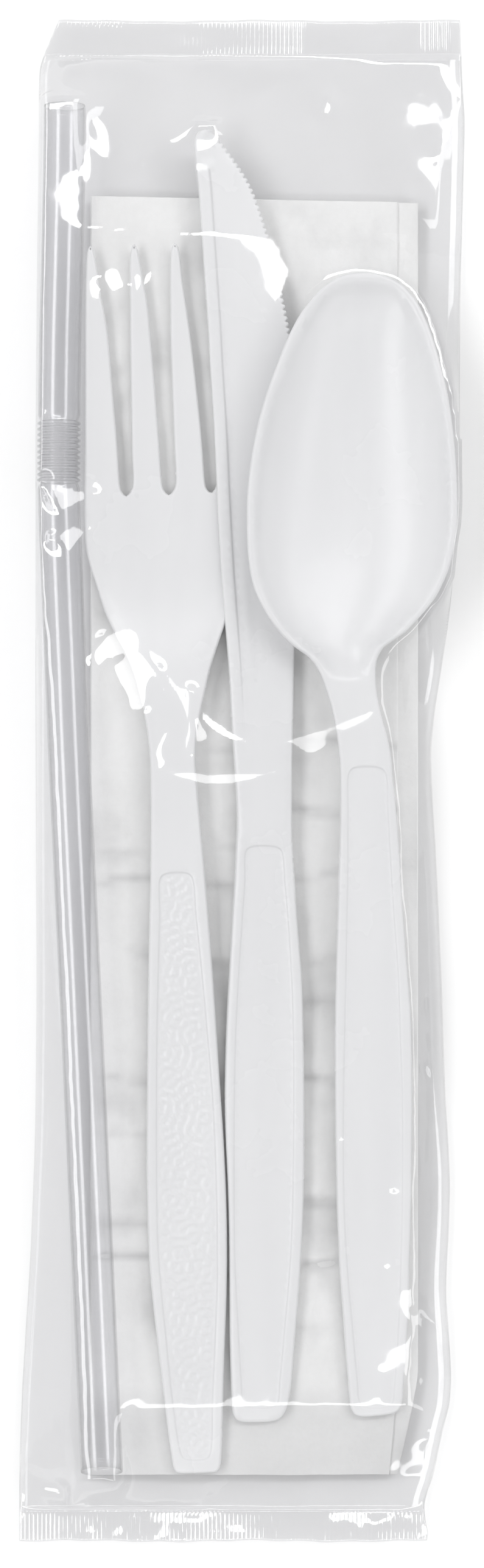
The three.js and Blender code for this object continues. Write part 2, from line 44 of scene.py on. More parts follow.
# ------------------------------------------------------------------ camera
CAM = np.array([0.0, -0.45, 460.0])          # mm, straight above the pack
cam_data = bpy.data.cameras.new("camera")
cam_data.lens = 72.3
cam_data.sensor_width = 36.0
cam_data.clip_start, cam_data.clip_end = 0.01, 20.0
cam = bpy.data.objects.new("camera", cam_data)
cam.location = Vector(CAM * MM)
cam.rotation_euler = (0.0, 0.0, 0.0)
scene.collection.objects.link(cam)
scene.camera = cam
scene.view_settings.view_transform = "Standard"
scene.cycles.transparent_max_bounces = 24      # film and straw lie over each other

# ------------------------------------------------------------------ outlines, in mm
FORK_OUT = [
    (-8.57, -100.24), (-9.28, -100.15), (-9.72, -99.89), (-9.98, -99.28), (-10.16, -98.22), (-10.68, -94.7),
    (-11.3, -89.43), (-12.35, -80.64), (-13.19, -72.72), (-13.5, -68.33), (-13.67, -63.05), (-13.78, -57.78),
    (-13.8, -52.5), (-13.76, -45.47), (-13.67, -36.67), (-13.54, -27.88), (-13.36, -19.09), (-13.23, -13.29),
    (-13.19, -7.31), (-13.19, -1.51), (-13.32, 3.77), (-13.63, 6.58), (-14.16, 9.84), (-14.77, 12.47),
    (-15.65, 15.55), (-16.93, 18.63), (-18.2, 20.92), (-19.52, 23.64), (-20, 24.87), (-21.1, 28.39),
    (-21.76, 30.32), (-22.38, 32.61), (-22.68, 34.81), (-22.77, 38.06), (-22.79, 42.46), (-22.73, 51.25),
    (-22.7, 63.56), (-22.64, 70.59), (-22.55, 74.11), (-22.46, 75.87), (-22.29, 76.83), (-21.89, 77.41),
    (-21.5, 76.92), (-21.26, 75.87), (-20.94, 74.11), (-20.44, 70.59), (-19.74, 67.07), (-19.27, 63.56),
    (-18.68, 56.52), (-18.09, 49.49), (-17.74, 44.21), (-17.63, 42.72), (-17.41, 41.93), (-16.77, 41.23),
    (-16.11, 41.93), (-15.84, 42.9), (-15.98, 47.73), (-16.11, 56.52), (-16.2, 63.56), (-16.22, 68.83),
    (-16.24, 72.35), (-16.2, 75.43), (-16.02, 76.92), (-15.62, 77.67), (-15.2, 77.1), (-14.92, 76.04),
    (-14.42, 73.23), (-13.63, 68.83), (-13.12, 63.56), (-12.53, 56.52), (-12, 49.49), (-11.65, 44.21),
    (-11.52, 42.9), (-11.3, 42.1), (-10.59, 41.4), (-9.91, 42.1), (-9.65, 43.07), (-9.86, 48.61),
    (-10.13, 56.52), (-10.38, 63.56), (-10.42, 68.83), (-10.42, 73.23), (-10.33, 76.04), (-10.16, 77.1),
    (-9.74, 77.8), (-9.23, 77.19), (-8.95, 75.87), (-8.57, 72.35), (-8.04, 68.83), (-7.3, 63.56),
    (-6.49, 56.52), (-5.79, 49.49), (-5.41, 44.21), (-5.32, 43.16), (-5.14, 42.37), (-4.49, 41.71),
    (-3.91, 42.37), (-3.71, 43.34), (-4, 51.25), (-4.26, 60.04), (-4.46, 68.83), (-4.5, 74.11),
    (-4.4, 76.75), (-4.22, 77.63), (-3.87, 77.93), (-3.47, 77.54), (-3.21, 76.31), (-2.77, 73.23),
    (-2.24, 68.83), (-1.54, 62.68), (-0.84, 55.64), (-0.04, 47.73), (0.48, 42.46), (0.84, 37.18),
    (0.84, 34.81), (0.66, 32.78), (0.13, 30.32), (-0.84, 27.07), (-2.07, 23.82), (-2.59, 22.23),
    (-3.47, 19.6), (-4.57, 16.08), (-5.36, 12.56), (-5.76, 10.8), (-6.42, 7.29), (-6.66, 4.65),
    (-6.64, 2.01), (-6.37, -1.51), (-6.02, -5.46), (-5.67, -9.42), (-5.32, -13.29), (-4.84, -19.09),
    (-4.18, -27.88), (-3.6, -36.67), (-3.06, -45.47), (-2.61, -52.5), (-2.33, -58.65), (-2.2, -63.05),
    (-2.15, -68.33), (-2.2, -73.6), (-2.42, -80.64), (-2.64, -87.67), (-2.81, -93.82), (-2.99, -98.22),
    (-3.12, -99.28), (-3.52, -99.89), (-4, -100.11), (-4.7, -100.15),
]
FORK_PAN = [
    (-11.21, -13.46), (-7.78, -13.33), (-7.17, -13.9), (-6.64, -19.09), (-5.76, -27.88), (-4.97, -36.67),
    (-4.26, -45.47), (-3.82, -54.26), (-3.6, -63.05), (-3.56, -68.33), (-3.56, -71.84), (-3.87, -80.64),
    (-4.26, -89.43), (-4.57, -97.16), (-5.06, -97.96), (-8.31, -98.04), (-8.79, -97.43), (-10.07, -89.43),
    (-10.99, -80.64), (-11.83, -71.84), (-12.09, -68.33), (-12.27, -63.05), (-12.35, -54.26), (-12.35, -45.47),
    (-12.27, -36.67), (-12.09, -27.88), (-11.87, -19.09), (-11.78, -14.08),
]
KNIFE_OUT = [
    (-5.25, 93.91), (-6, 93.69), (-6.66, 93.08), (-6.94, 91.77), (-6.74, 89.66), (-6.48, 87.39),
    (-6.26, 85.11), (-6.04, 81.87), (-5.69, 76.56), (-5.34, 71.04), (-4.95, 65.52), (-4.65, 59.85),
    (-4.1, 51.09), (-3.64, 41.47), (-3.23, 33.57), (-2.63, 24.82), (-1.97, 16.04), (-1.54, 8.15),
    (-1.14, 2.01), (-0.83, -3.26), (-0.78, -6.77), (-0.95, -10.29), (-1.1, -13.8), (-1.43, -19.07),
    (-1.92, -27.86), (-2.27, -34.89), (-2.48, -41.93), (-2.52, -46.33), (-2.36, -52.49), (-2.15, -56.88),
    (-1.95, -63.04), (-1.87, -68.33), (-1.84, -73.6), (-1.8, -80.64), (-1.67, -85.91), (-1.49, -90.31),
    (-1.32, -91.71), (-0.75, -92.51), (0.04, -92.77), (2.42, -92.83), (4.62, -92.64), (5.58, -92.24),
    (6.24, -91.36), (6.64, -90.31), (7.1, -87.67), (7.69, -80.64), (8.28, -73.6), (8.72, -66.55),
    (8.97, -59.52), (9.04, -52.49), (9.01, -41.93), (8.89, -34.89), (8.65, -27.86), (8.06, -20.83),
    (7.62, -13.8), (7.29, -8.53), (7.23, -3.26), (7.27, 3.76), (7.41, 10.78), (7.54, 17.8),
    (7.68, 24.82), (7.85, 33.58), (7.89, 41.47), (7.85, 51.1), (7.67, 58.11),
]
KNIFE_EDGE = [
    (7.32, 62.02), (6.83, 65.52), (6.22, 68.59), (5.52, 72.09), (4.82, 75.6), (3.72, 79.1),
    (2.56, 82.61), (1.36, 85.67), (-0.07, 88.13), (-1.53, 90.23), (-2.76, 91.89), (-3.68, 93.03),
    (-4.42, 93.69),
]
KNIFE_PAN = [
    (1.1, -9.59), (5.14, -9.59), (5.76, -10.21), (6.2, -14.69), (6.59, -19.08), (7.16, -27.87),
    (7.43, -36.66), (7.47, -45.45), (7.43, -54.24), (7.29, -63.02), (6.94, -70.05), (6.2, -78.84),
    (5.49, -86.75), (5.19, -89.83), (4.61, -90.44), (0.75, -90.44), (0.18, -89.83), (-0.13, -86.75),
    (-0.57, -78.84), (-1.01, -70.05), (-1.12, -63.02), (-1.16, -54.24), (-1.1, -45.45), (-0.92, -36.66),
    (-0.48, -27.87), (0.09, -19.08), (0.4, -14.69), (0.53, -10.21),
]
SPOON_OUT = [
    (17.64, -92.02), (16.93, -91.97), (16.23, -91.66), (15.74, -90.86), (15.52, -89.44), (15.3, -86.78),
    (15.07, -84.12), (14.8, -80.58), (14.54, -77.04), (14.27, -73.5), (14, -69.96), (13.86, -66.43),
    (13.71, -62.9), (13.59, -57.6), (13.45, -50.55), (13.39, -45.27), (13.34, -38.24), (13.4, -31.22),
    (13.54, -25.09), (13.71, -18.96), (13.83, -13.71), (14, -8.47), (14.06, -3.24), (13.98, 1.99),
    (13.72, 5.04), (13.28, 8.08), (12.71, 10.69), (12.1, 12.69), (11.27, 15.04), (10.32, 16.72),
    (9.32, 17.84), (8.19, 18.63), (6.98, 19.58), (5.51, 21.05), (4.16, 22.79), (3.08, 24.52),
    (2.21, 26.26), (1.52, 28.16), (1.04, 30.59), (0.76, 33.63), (0.67, 37.09), (0.74, 40.56),
    (1.04, 44.03), (1.56, 47.5), (2.17, 50.53), (2.99, 53.65), (3.95, 56.6), (4.99, 59.38),
    (6.11, 62.24), (7.2, 64.67), (8.37, 66.75), (9.84, 68.74), (11.66, 70.65), (13.74, 71.95),
    (15.65, 72.51), (17.56, 72.69), (19.47, 72.47), (21.46, 71.69), (23.37, 70.39), (25.01, 68.39),
    (26.27, 65.79), (27.36, 62.84), (28.31, 59.55), (29.18, 56.08), (29.78, 52.61), (30.26, 48.8),
    (30.56, 44.9), (30.72, 41.86), (30.76, 38.83), (30.69, 36.49), (30.46, 34.49), (30, 32.15),
    (29.39, 29.9), (28.57, 27.99), (27.62, 26.17), (26.36, 24.52), (24.84, 22.79), (23.11, 21.05),
    (21.46, 19.93), (20.29, 19.06), (19.55, 17.93), (19.14, 16.54), (19.1, 15.21), (19.19, 13.47),
    (19.45, 11.56), (20.07, 8.95), (20.77, 6.52), (21.3, 3.73), (21.65, 0.25), (22.01, -3.24),
    (22.58, -10.22), (22.96, -16.34), (23.45, -23.34), (23.86, -28.59), (24.22, -32.98), (24.41, -38.24),
    (24.5, -45.27), (24.47, -54.08), (24.34, -62.9), (24.14, -69.96), (24.05, -76.15), (23.84, -80.58),
    (23.6, -84.12), (23.34, -88.11), (23.17, -89.89), (22.74, -90.95), (22.03, -91.49), (20.8, -91.75),
    (19.22, -91.93),
]
SPOON_PAN = [
    (15.9, 1.82), (19.82, 1.82), (20.52, 1.12), (20.88, -4.11), (21.24, -10.22), (21.78, -18.96),
    (22.42, -27.72), (22.74, -36.49), (23.07, -45.27), (23.13, -54.08), (23.07, -62.9), (22.91, -69.96),
    (22.62, -78.81), (22.11, -86.78), (21.85, -89.71), (21.33, -90.42), (17.63, -90.51), (17.02, -89.89),
    (16.66, -86.78), (15.94, -78.81), (15.23, -70.85), (14.87, -65.54), (14.64, -58.48), (14.58, -49.67),
    (14.66, -40.88), (14.86, -29.47), (15.06, -18.96), (15.18, -10.22), (15.17, -4.11), (15.29, 1.12),
]
STRAW_C = [
    (96.94, -25.6), (89.09, -25.68), (81.16, -25.85), (70.59, -26.1), (63.54, -26.27), (52.1, -26.41),
    (43.3, -26.46), (38.02, -26.33), (33.63, -26.15), (24.84, -25.8), (16.05, -25.41), (7.27, -25.06),
    (-1.5, -24.67), (-27.8, -23.41), (-67.18, -21.59), (-98.71, -20.17),
]
FILM_L = [
    (110.73, -26.66), (108.52, -27.64), (103.37, -29.46), (100.97, -29.59), (96.09, -29.59), (87.22, -29.68),
    (78.35, -29.81), (60.6, -29.99), (47.29, -30.08), (38.42, -30.08), (16.23, -30.08), (-1.51, -30.04),
    (-28.14, -29.95), (-41.45, -30.04), (-52.09, -30.21), (-63.63, -30.61), (-68.95, -30.84), (-80.49, -31.55),
    (-92.02, -32.17), (-101.78, -32.43), (-107.11, -32.43), (-110.21, -32.43),
]
FILM_R = [
    (111.09, 31.46), (110.65, 31.72), (106.74, 31.9), (100.62, 32.17), (96.09, 32.43), (87.22, 32.25),
    (73.91, 31.9), (66.81, 31.77), (56.16, 31.72), (46.4, 31.77), (40.19, 31.81), (36.64, 31.63),
    (33.98, 31.19), (25.11, 30.3), (16.23, 29.06), (9.13, 28), (3.81, 27.55), (-1.51, 27.73),
    (-10.39, 28.26), (-28.14, 29.06), (-44.11, 29.59), (-59.19, 30.3), (-65.4, 30.13), (-70.73, 29.86),
    (-74.01, 29.77), (-81.38, 30.21), (-87.41, 30.48), (-90.25, 30.3), (-94.69, 29.24), (-100.9, 27.91),
    (-105.87, 26.58), (-108, 26.75), (-109.77, 27.11), (-110.92, 26.84),
]


def steps(points, values):
    """A smooth curve through (y, value) pairs, y rising, flat at each pair."""
    ys, vs = np.array(points, float), np.array(values, float)

    def f(y):
        y = np.clip(np.asarray(y, float), ys[0], ys[-1])
        i = np.clip(np.searchsorted(ys, y, side="right") - 1, 0, len(ys) - 2)
        t = (y - ys[i]) / (ys[i + 1] - ys[i])
        t = t * t * (3 - 2 * t)
        return vs[i] + (vs[i + 1] - vs[i]) * t

    return f


def spline(table, col=1):
    """A smooth interpolation of a (y, ...) table, without overshoot."""
    a = np.array([[r[0], r[col]] for r in table], float)
    a = a[np.argsort(a[:, 0])]
    y, v = a[:, 0], a[:, 1]
    d = np.diff(v) / np.diff(y)
    m = np.zeros(len(y))
    m[0], m[-1] = d[0], d[-1]
    same = d[:-1] * d[1:] > 0
    m[1:-1][same] = 2 * d[:-1][same] * d[1:][same] / (d[:-1][same] + d[1:][same])

    def f(q):
        q = np.clip(np.asarray(q, float), y[0], y[-1])
        i = np.clip(np.searchsorted(y, q, side="right") - 1, 0, len(y) - 2)
        h = y[i + 1] - y[i]
        t = (q - y[i]) / h
        return ((1 + 2 * t) * (1 - t) ** 2 * v[i] + t * (1 - t) ** 2 * h * m[i]
                + t * t * (3 - 2 * t) * v[i + 1] + t * t * (t - 1) * h * m[i + 1])

    return f


def round_loop(points, spacing, sharp=()):
    """A closed loop through the points (centripetal Catmull-Rom), resampled evenly."""
    p = np.array(points, float)
    n = len(p)
    out = []
    for i in range(n):
        p0, p1, p2, p3 = p[i - 1], p[i], p[(i + 1) % n], p[(i + 2) % n]
        k1 = math.sqrt(np.linalg.norm(p1 - p0)) + 1e-9
        k2 = math.sqrt(np.linalg.norm(p2 - p1)) + 1e-9
        k3 = math.sqrt(np.linalg.norm(p3 - p2)) + 1e-9
        t0, t1, t2, t3 = 0.0, k1, k1 + k2, k1 + k2 + k3
        for t in np.linspace(t1, t2, max(2, int(np.linalg.norm(p2 - p1) / spacing * 2)) , endpoint=False):
            a1 = (t1 - t) / k1 * p0 + (t - t0) / k1 * p1
            a2 = (t2 - t) / k2 * p1 + (t - t1) / k2 * p2
            a3 = (t3 - t) / k3 * p2 + (t - t2) / k3 * p3
            b1 = (t2 - t) / (t2 - t0) * a1 + (t - t0) / (t2 - t0) * a2
            b2 = (t3 - t) / (t3 - t1) * a2 + (t - t1) / (t3 - t1) * a3
            out.append((t2 - t) / k2 * b1 + (t - t1) / k2 * b2)
    return resample(np.array(out), spacing)


def resample(q, spacing):
    q = np.vstack([q, q[:1]])
    seg = np.linalg.norm(np.diff(q, axis=0), axis=1)
    keep = np.concatenate([[True], seg > 1e-9])
    q = q[keep]
    s = np.concatenate([[0], np.cumsum(np.linalg.norm(np.diff(q, axis=0), axis=1))])
    n = max(12, int(round(s[-1] / spacing)))
    u = np.linspace(0, s[-1], n, endpoint=False)
    return np.column_stack([np.interp(u, s, q[:, 0]), np.interp(u, s, q[:, 1])])


def ccw(p):
    x, y = p[:, 0], p[:, 1]
    area = (x * np.roll(y, -1) - np.roll(x, -1) * y).sum() / 2
    return p if area > 0 else p[::-1].copy()


def inward(p):
    """Unit normals that point into a counter-clockwise loop."""
    t = np.roll(p, -1, axis=0) - np.roll(p, 1, axis=0)
    t /= np.linalg.norm(t, axis=1)[:, None] + 1e-12
    return np.column_stack([-t[:, 1], t[:, 0]])


def distance(points, loop):
    """The distance from each point to a closed loop."""
    a, b = loop, np.roll(loop, -1, axis=0)
    ab = b - a
    ll = (ab ** 2).sum(1) + 1e-12
    out = np.empty(len(points))
    for s in range(0, len(points), 2000):
        q = points[s:s + 2000]
        ap = q[:, None, :] - a[None]
        t = np.clip((ap * ab[None]).sum(2) / ll[None], 0, 1)
        d = ap - t[..., None] * ab[None]
        out[s:s + 2000] = np.sqrt((d ** 2).sum(2).min(1))
    return out


def inside(points, loop):
    x, y = points[:, 0], points[:, 1]
    hit = np.zeros(len(points), bool)
    a, b = loop, np.roll(loop, -1, axis=0)
    for (x0, y0), (x1, y1) in zip(a, b):
        if y0 == y1:
            continue
        cross = (y0 > y) != (y1 > y)
        hit ^= cross & (x < (x1 - x0) * (y - y0) / (y1 - y0) + x0)
    return hit


def signed(points, loop):
    d = distance(points, loop)
    return np.where(inside(points, loop), d, -d)


def make(name, verts, faces, smooth=True):
    """A mesh object from millimetre vertices."""
    me = bpy.data.meshes.new(name)
    me.from_pydata((np.asarray(verts, float) * MM).tolist(), [], [list(map(int, f)) for f in faces])
    me.validate(verbose=False)
    me.update()
    if smooth:
        me.polygons.foreach_set("use_smooth", np.ones(len(me.polygons), bool))
    o = bpy.data.objects.new(name, me)
    scene.collection.objects.link(o)
    return o


def moulded(name, outline, top, under, grid, insets, lines=(), patches=(), strips=()):
    """A moulded plate inside a closed outline. top and under give z from (x, y, d), d being
    the distance in from the edge. lines are loops and strips are open runs that the
    surface has to follow, and patches are (loop, spacing) areas with a finer grid."""
    base = ccw(outline)
    n = len(base)
    nrm = inward(base)
    rings = [base + nrm * d for d in insets]
    inner = rings[-1]
    xy, es = [tuple(p) for p in inner], [(i, (i + 1) % n) for i in range(n)]
    for loop in lines:
        k = len(xy)
        xy += [tuple(p) for p in loop]
        es += [(k + i, k + (i + 1) % len(loop)) for i in range(len(loop))]
    for run in strips:
        k = len(xy)
        xy += [tuple(p) for p in run]
        es += [(k + i, k + i + 1) for i in range(len(run) - 1)]
    lo, hi = base.min(0), base.max(0)

    def grid_points(g, lo, hi):
        gx, gy = np.meshgrid(np.arange(lo[0], hi[0], g), np.arange(lo[1], hi[1], g * 0.9))
        gx[1::2] += g / 2
        return np.column_stack([gx.ravel(), gy.ravel()])

    pts = grid_points(grid, lo, hi)
    pts = pts[inside(pts, inner)]
    pts = pts[distance(pts, inner) > grid * 0.45]
    for loop, g in patches:
        pts = pts[signed(pts, loop) < -g * 0.7]
        fine = grid_points(g, loop.min(0), loop.max(0))
        fine = fine[signed(fine, loop) > g * 0.5]
        fine = fine[inside(fine, inner)]
        pts = np.vstack([pts, fine])
    for loop in lines:
        pts = pts[distance(pts, loop) > 0.13]
    for run in strips:
        pts = pts[np.sqrt(((pts[:, None] - run[None]) ** 2).sum(2).min(1)) > 0.3]
    k0 = len(xy)
    xy += [tuple(p) for p in pts]
    out = delaunay_2d_cdt([Vector(p) for p in xy], es, [], 0, 1e-6)
    cv = np.array([tuple(v) for v in out[0]])
    tri = np.array([f for f in out[2] if len(f) == 3])
    mid = cv[tri].mean(1)
    tri = tri[inside(mid, inner)]
    d_in = distance(cv, base)
    ring_index = {}
    for k, src in enumerate(out[3]):
        for s in src:
            if s < n:
                ring_index[s] = k
                d_in[k] = insets[-1]
    verts, faces = [], []
    layers = []
    for which, f in ((0, top), (1, under)):
        start = len(verts)
        for ring, d in zip(rings[:-1], insets[:-1]):
            z = f(ring[:, 0], ring[:, 1], np.full(n, d))
            verts += np.column_stack([ring, z]).tolist()
        core = len(verts)
        z = f(cv[:, 0], cv[:, 1], d_in)
        verts += np.column_stack([cv, z]).tolist()

        def at(r, i):
            i %= n
            return start + r * n + i if r < len(rings) - 1 else core + ring_index[i]

        for r in range(len(rings) - 1):
            for i in range(n):
                q = [at(r, i), at(r, i + 1), at(r + 1, i + 1), at(r + 1, i)]
                faces.append(q if which == 0 else q[::-1])
        for t in tri:
            a, b, c = cv[t[0]], cv[t[1]], cv[t[2]]
            up = (b[0] - a[0]) * (c[1] - a[1]) - (b[1] - a[1]) * (c[0] - a[0]) > 0
            t = t if up == (which == 0) else t[::-1]
            faces.append([core + int(x) for x in t])
        layers.append(start)
    for i in range(n):
        j = (i + 1) % n
        faces.append([layers[1] + i, layers[1] + j, layers[0] + j, layers[0] + i])
    o = make(name, verts, faces)
    loose = bpy.data.meshes[o.data.name]
    import bmesh
    bm = bmesh.new()
    bm.from_mesh(loose)
    bmesh.ops.delete(bm, geom=[v for v in bm.verts if not v.link_faces], context="VERTS")
    bmesh.ops.recalc_face_normals(bm, faces=bm.faces)
    bm.to_mesh(loose)
    bm.free()
    return o


def fillet(d, r):
    """Height of a quarter-round edge of radius r at distance d in from the edge, 0 to 1."""
    t = np.clip(np.asarray(d) / r, 0, 1)
    return np.sqrt(np.clip(1 - (1 - t) ** 2, 0, 1))


def ramp(s, a, b):
    t = np.clip((np.asarray(s) - a) / (b - a), 0, 1)
    return t * t * (3 - 2 * t)


# A smooth value noise, the same every time.
_N = np.random.default_rng(11).random((256, 256))


def noise(x, y):
    xi, yi = np.floor(x).astype(int), np.floor(y).astype(int)
    fx, fy = x - xi, y - yi
    fx, fy = fx * fx * (3 - 2 * fx), fy * fy * (3 - 2 * fy)
    a, b = _N[xi % 256, yi % 256], _N[(xi + 1) % 256, yi % 256]
    c, d = _N[xi % 256, (yi + 1) % 256], _N[(xi + 1) % 256, (yi + 1) % 256]
    return (a * (1 - fx) + b * fx) * (1 - fy) + (c * (1 - fx) + d * fx) * fy


def fbm(x, y, octaves=4):
    v, a = 0.0, 0.5
    for k in range(octaves):
        v = v + a * (noise(x + 17.3 * k, y + 9.1 * k) - 0.5)
        x, y, a = x * 2.03, y * 2.03, a * 0.5
    return v


# ------------------------------------------------------------------ fork
BASE_Z = 3.3
fork_under = steps([-100, -50, -8, 11, 31, 44, 58, 78], [BASE_Z, 4.1, 5.2, 5.5, 3.85, 3.75, 3.8, 4.3])
fork_thick = steps([-20, 25, 60, 78], [1.6, 1.15, 1.15, 0.95])
fork_out = round_loop(FORK_OUT, 0.42)
fork_pan = ccw(round_loop(FORK_PAN, 0.4))


_W = np.random.default_rng(5).random((14, 2))


def maze(x, y):
    """A winding labyrinth of ridges about 1.2 mm apart."""
    v = 0.0
    for k, (a, p) in enumerate(_W):
        t = math.pi * (k + a) / len(_W)
        v = v + np.cos(5.2 * (x * math.cos(t) + y * math.sin(t)) + 2 * math.pi * p)
    return np.tanh(1.1 * v)


def fork_top_z(x, y, d):
    under, thick = fork_under(y), fork_thick(y)
    head = ramp(y, 8, 30)
    z = under + 0.35 * thick + 0.65 * thick * fillet(d, 0.4)
    s = signed(np.column_stack([x, y]), fork_pan)
    z = z - 0.32 * ramp(s, -0.16, 0.16)
    z = z + 0.075 * maze(x, y) * ramp(s, 0.35, 0.7)
    # the head is very slightly dished and a broad shoulder crosses it below the slots
    z = z - 0.28 * head * fillet(np.clip(d - 0.5, 0, None), 5.0) * ramp(y, 10, 26) * (1 - ramp(y, 34, 44))
    # the neck and the handle's top end carry a low rib along each side
    z = z - 0.16 * (1 - ramp(y, 18, 34)) * ramp(y, -13, -9) * fillet(np.clip(d - 0.7, 0, None), 1.2)
    return z


def fork_under_z(x, y, d):
    under, thick = fork_under(y), fork_thick(y)
    return under + 0.30 * thick * (1 - fillet(d, 0.35))


def offset_loops(loop, ds):
    nrm = inward(loop)
    return [loop + nrm * d for d in ds]


fork = moulded("fork_moulding", fork_out, fork_top_z, fork_under_z, 0.85, [0, 0.03, 0.09, 0.18, 0.3, 0.45],
               lines=offset_loops(fork_pan, (-0.16, -0.05, 0.05, 0.16)), patches=[(fork_pan, 0.27)])

# ------------------------------------------------------------------ knife
KNIFE_END, KNIFE_SLOPE = -92.6, 0.0125
knife_out_points = [tuple(p) for p in KNIFE_OUT]


def toothed(edge, pitch, depth):
    """Fine teeth along a line of points, which runs from the heel to the tip."""
    e = np.array(edge, float)
    s = np.concatenate([[0], np.cumsum(np.linalg.norm(np.diff(e, axis=0), axis=1))])
    n = int(s[-1] / pitch)
    out = []
    for k in range(n):
        for f, h in ((0.0, 0.0), (0.28, 0.25), (0.44, 0.85), (0.5, 1.0), (0.56, 0.85), (0.72, 0.25)):
            u = (k + f) * s[-1] / n
            x, y = np.interp(u, s, e[:, 0]), np.interp(u, s, e[:, 1])
            x2, y2 = np.interp(min(u + 0.3, s[-1]), s, e[:, 0]), np.interp(min(u + 0.3, s[-1]), s, e[:, 1])
            x1, y1 = np.interp(max(u - 0.3, 0), s, e[:, 0]), np.interp(max(u - 0.3, 0), s, e[:, 1])
            t = np.array([x2 - x1, y2 - y1])
            t /= np.linalg.norm(t)
            out.append((x - t[1] * depth * h, y + t[0] * depth * h))
    return out


heel = [(7.85, 36.0), (7.84, 48.0), (7.66, 57.0)]
smooth_part = round_loop(KNIFE_OUT + [tuple(p) for p in KNIFE_EDGE], 0.42)
# the smooth loop, with the cutting edge between the heel and the tip cut into teeth
edge_line = resample(np.array(heel + [tuple(p) for p in KNIFE_EDGE]), 0.3)
tip = np.array(KNIFE_EDGE[-1])
on_edge = (smooth_part[:, 1] > 36.0) & (smooth_part[:, 0] > np.interp(
    smooth_part[:, 1], [36, 60, 76, 85, 93.2, 95], [4.0, 4.0, 1.0, -1.8, -4.45, -4.0]))
on_edge &= smooth_part[:, 1] < 93.4
kept = smooth_part[~on_edge]
# order: start the kept run just after the cut
order = np.where(np.diff(np.concatenate([[on_edge[-1]], on_edge]).astype(int)) == -1)[0]
if len(order):
    rolled = np.roll(np.arange(len(smooth_part)), -order[0])
    kept = smooth_part[rolled][~on_edge[rolled]]
    gone = smooth_part[rolled][on_edge[rolled]]
    teeth = toothed(gone, 0.86, 0.40)
    if np.mean([inside(np.array([t]), smooth_part)[0] for t in teeth[3::6]]) < 0.5:
        teeth = toothed(gone, 0.86, -0.40)
    knife_out = np.vstack([kept, np.array(teeth)])
else:
    knife_out = smooth_part
knife_left = spline([(y, x) for x, y in KNIFE_OUT[:40] if True][:34])
knife_pan = ccw(round_loop(KNIFE_PAN, 0.4))


def knife_base(y):
    return BASE_Z + KNIFE_SLOPE * (np.asarray(y) - KNIFE_END)


def knife_top_z(x, y, d):
    blade = ramp(y, 2, 24)
    from_spine = np.clip(x - knife_left(y), 0, None)
    blade_t = 1.35 - 0.50 * ramp(from_spine, 1.65, 2.0) - 0.03 * np.clip(from_spine - 2.0, 0, 9)
    # a shallow second step, from the bolster down to the middle of the blade
    blade_t = blade_t + 0.14 * (1 - ramp(from_spine, 3.6, 3.95)) * (1 - ramp(y, 20, 50)) * ramp(from_spine, 1.9, 2.3)
    hand_t = 1.6 - 0.14 * ramp(y, -8, 0) * fillet(np.clip(d - 0.8, 0, None), 1.6)
    t = hand_t * (1 - blade) + np.maximum(blade_t, 0.55) * blade
    r = 0.4 * (1 - blade) + 0.28 * blade
    z = knife_base(y) + t * (0.4 + 0.6 * fillet(d, r))
    s = signed(np.column_stack([x, y]), knife_pan)
    return z - 0.28 * ramp(s, -0.16, 0.16)


def knife_under_z(x, y, d):
    return knife_base(y) + 0.25 * (1 - fillet(d, 0.3))


def knife_run(off, y0, y1, n=150):
    return np.array([(float(knife_left(y)) + off, y) for y in np.linspace(y0, y1, n)])


knife = moulded("knife_moulding", knife_out, knife_top_z, knife_under_z, 0.85, [0, 0.03, 0.09, 0.18, 0.3],
                lines=offset_loops(knife_pan, (-0.16, -0.05, 0.05, 0.16)),
                strips=[knife_run(1.65, 88, 3), knife_run(1.78, 88, 3), knife_run(1.9, 88, 3), knife_run(2.0, 88, 3),
                        knife_run(3.6, 60, 6, 90), knife_run(3.95, 60, 6, 90)])

# ------------------------------------------------------------------ spoon
spoon_rim = steps([-92, -60, -20, 14, 30, 48, 73], [4.8, 6.4, 8.4, 10.6, 11.2, 11.25, 10.7])
spoon_out = round_loop(SPOON_OUT, 0.42)
spoon_pan = ccw(round_loop(SPOON_PAN, 0.4))
_lo = ccw(spoon_out)


def _sides(loop):
    ys = np.linspace(-91.9, 72.4, 700)
    a, b = loop, np.roll(loop, -1, axis=0)
    l, r = np.full(len(ys), 1e9), np.full(len(ys), -1e9)
    for (x0, y0), (x1, y1) in zip(a, b):
        lo, hi = min(y0, y1), max(y0, y1)
        k = (ys >= lo) & (ys <= hi)
        if hi - lo < 1e-9 or not k.any():
            continue
        x = x0 + (x1 - x0) * (ys[k] - y0) / (y1 - y0)
        l[k], r[k] = np.minimum(l[k], x), np.maximum(r[k], x)
    return ys, l, r


_sy, _sl, _sr = _sides(_lo)


def bowl_rho(x, y):
    """0 at the bowl's middle, 1 at the inner edge of its rim."""
    l, r = np.interp(y, _sy, _sl), np.interp(y, _sy, _sr)
    c, h = (l + r) / 2, np.maximum((r - l) / 2 - 1.15, 0.2)
    t = (y - 45.0) / np.where(y > 45, 26.2, 30.5)
    t = np.clip(t, -1, 1)
    full = np.interp(45.0, _sy, _sr) - np.interp(45.0, _sy, _sl)
    a = full / 2 - 1.25
    u = (x - c) / h
    return np.sqrt(np.clip(np.abs(u) ** 2 * (1 - np.abs(t) ** 2.2) + np.abs(t) ** 2.2, 0, 4)), t


def bowl_drop(x, y):
    rho, t = bowl_rho(x, y)
    return 5.5 * np.clip(1 - rho ** 2.1, 0, 1) ** 0.9 + 0.45 * ramp(1 - rho, 0.0, 0.035)


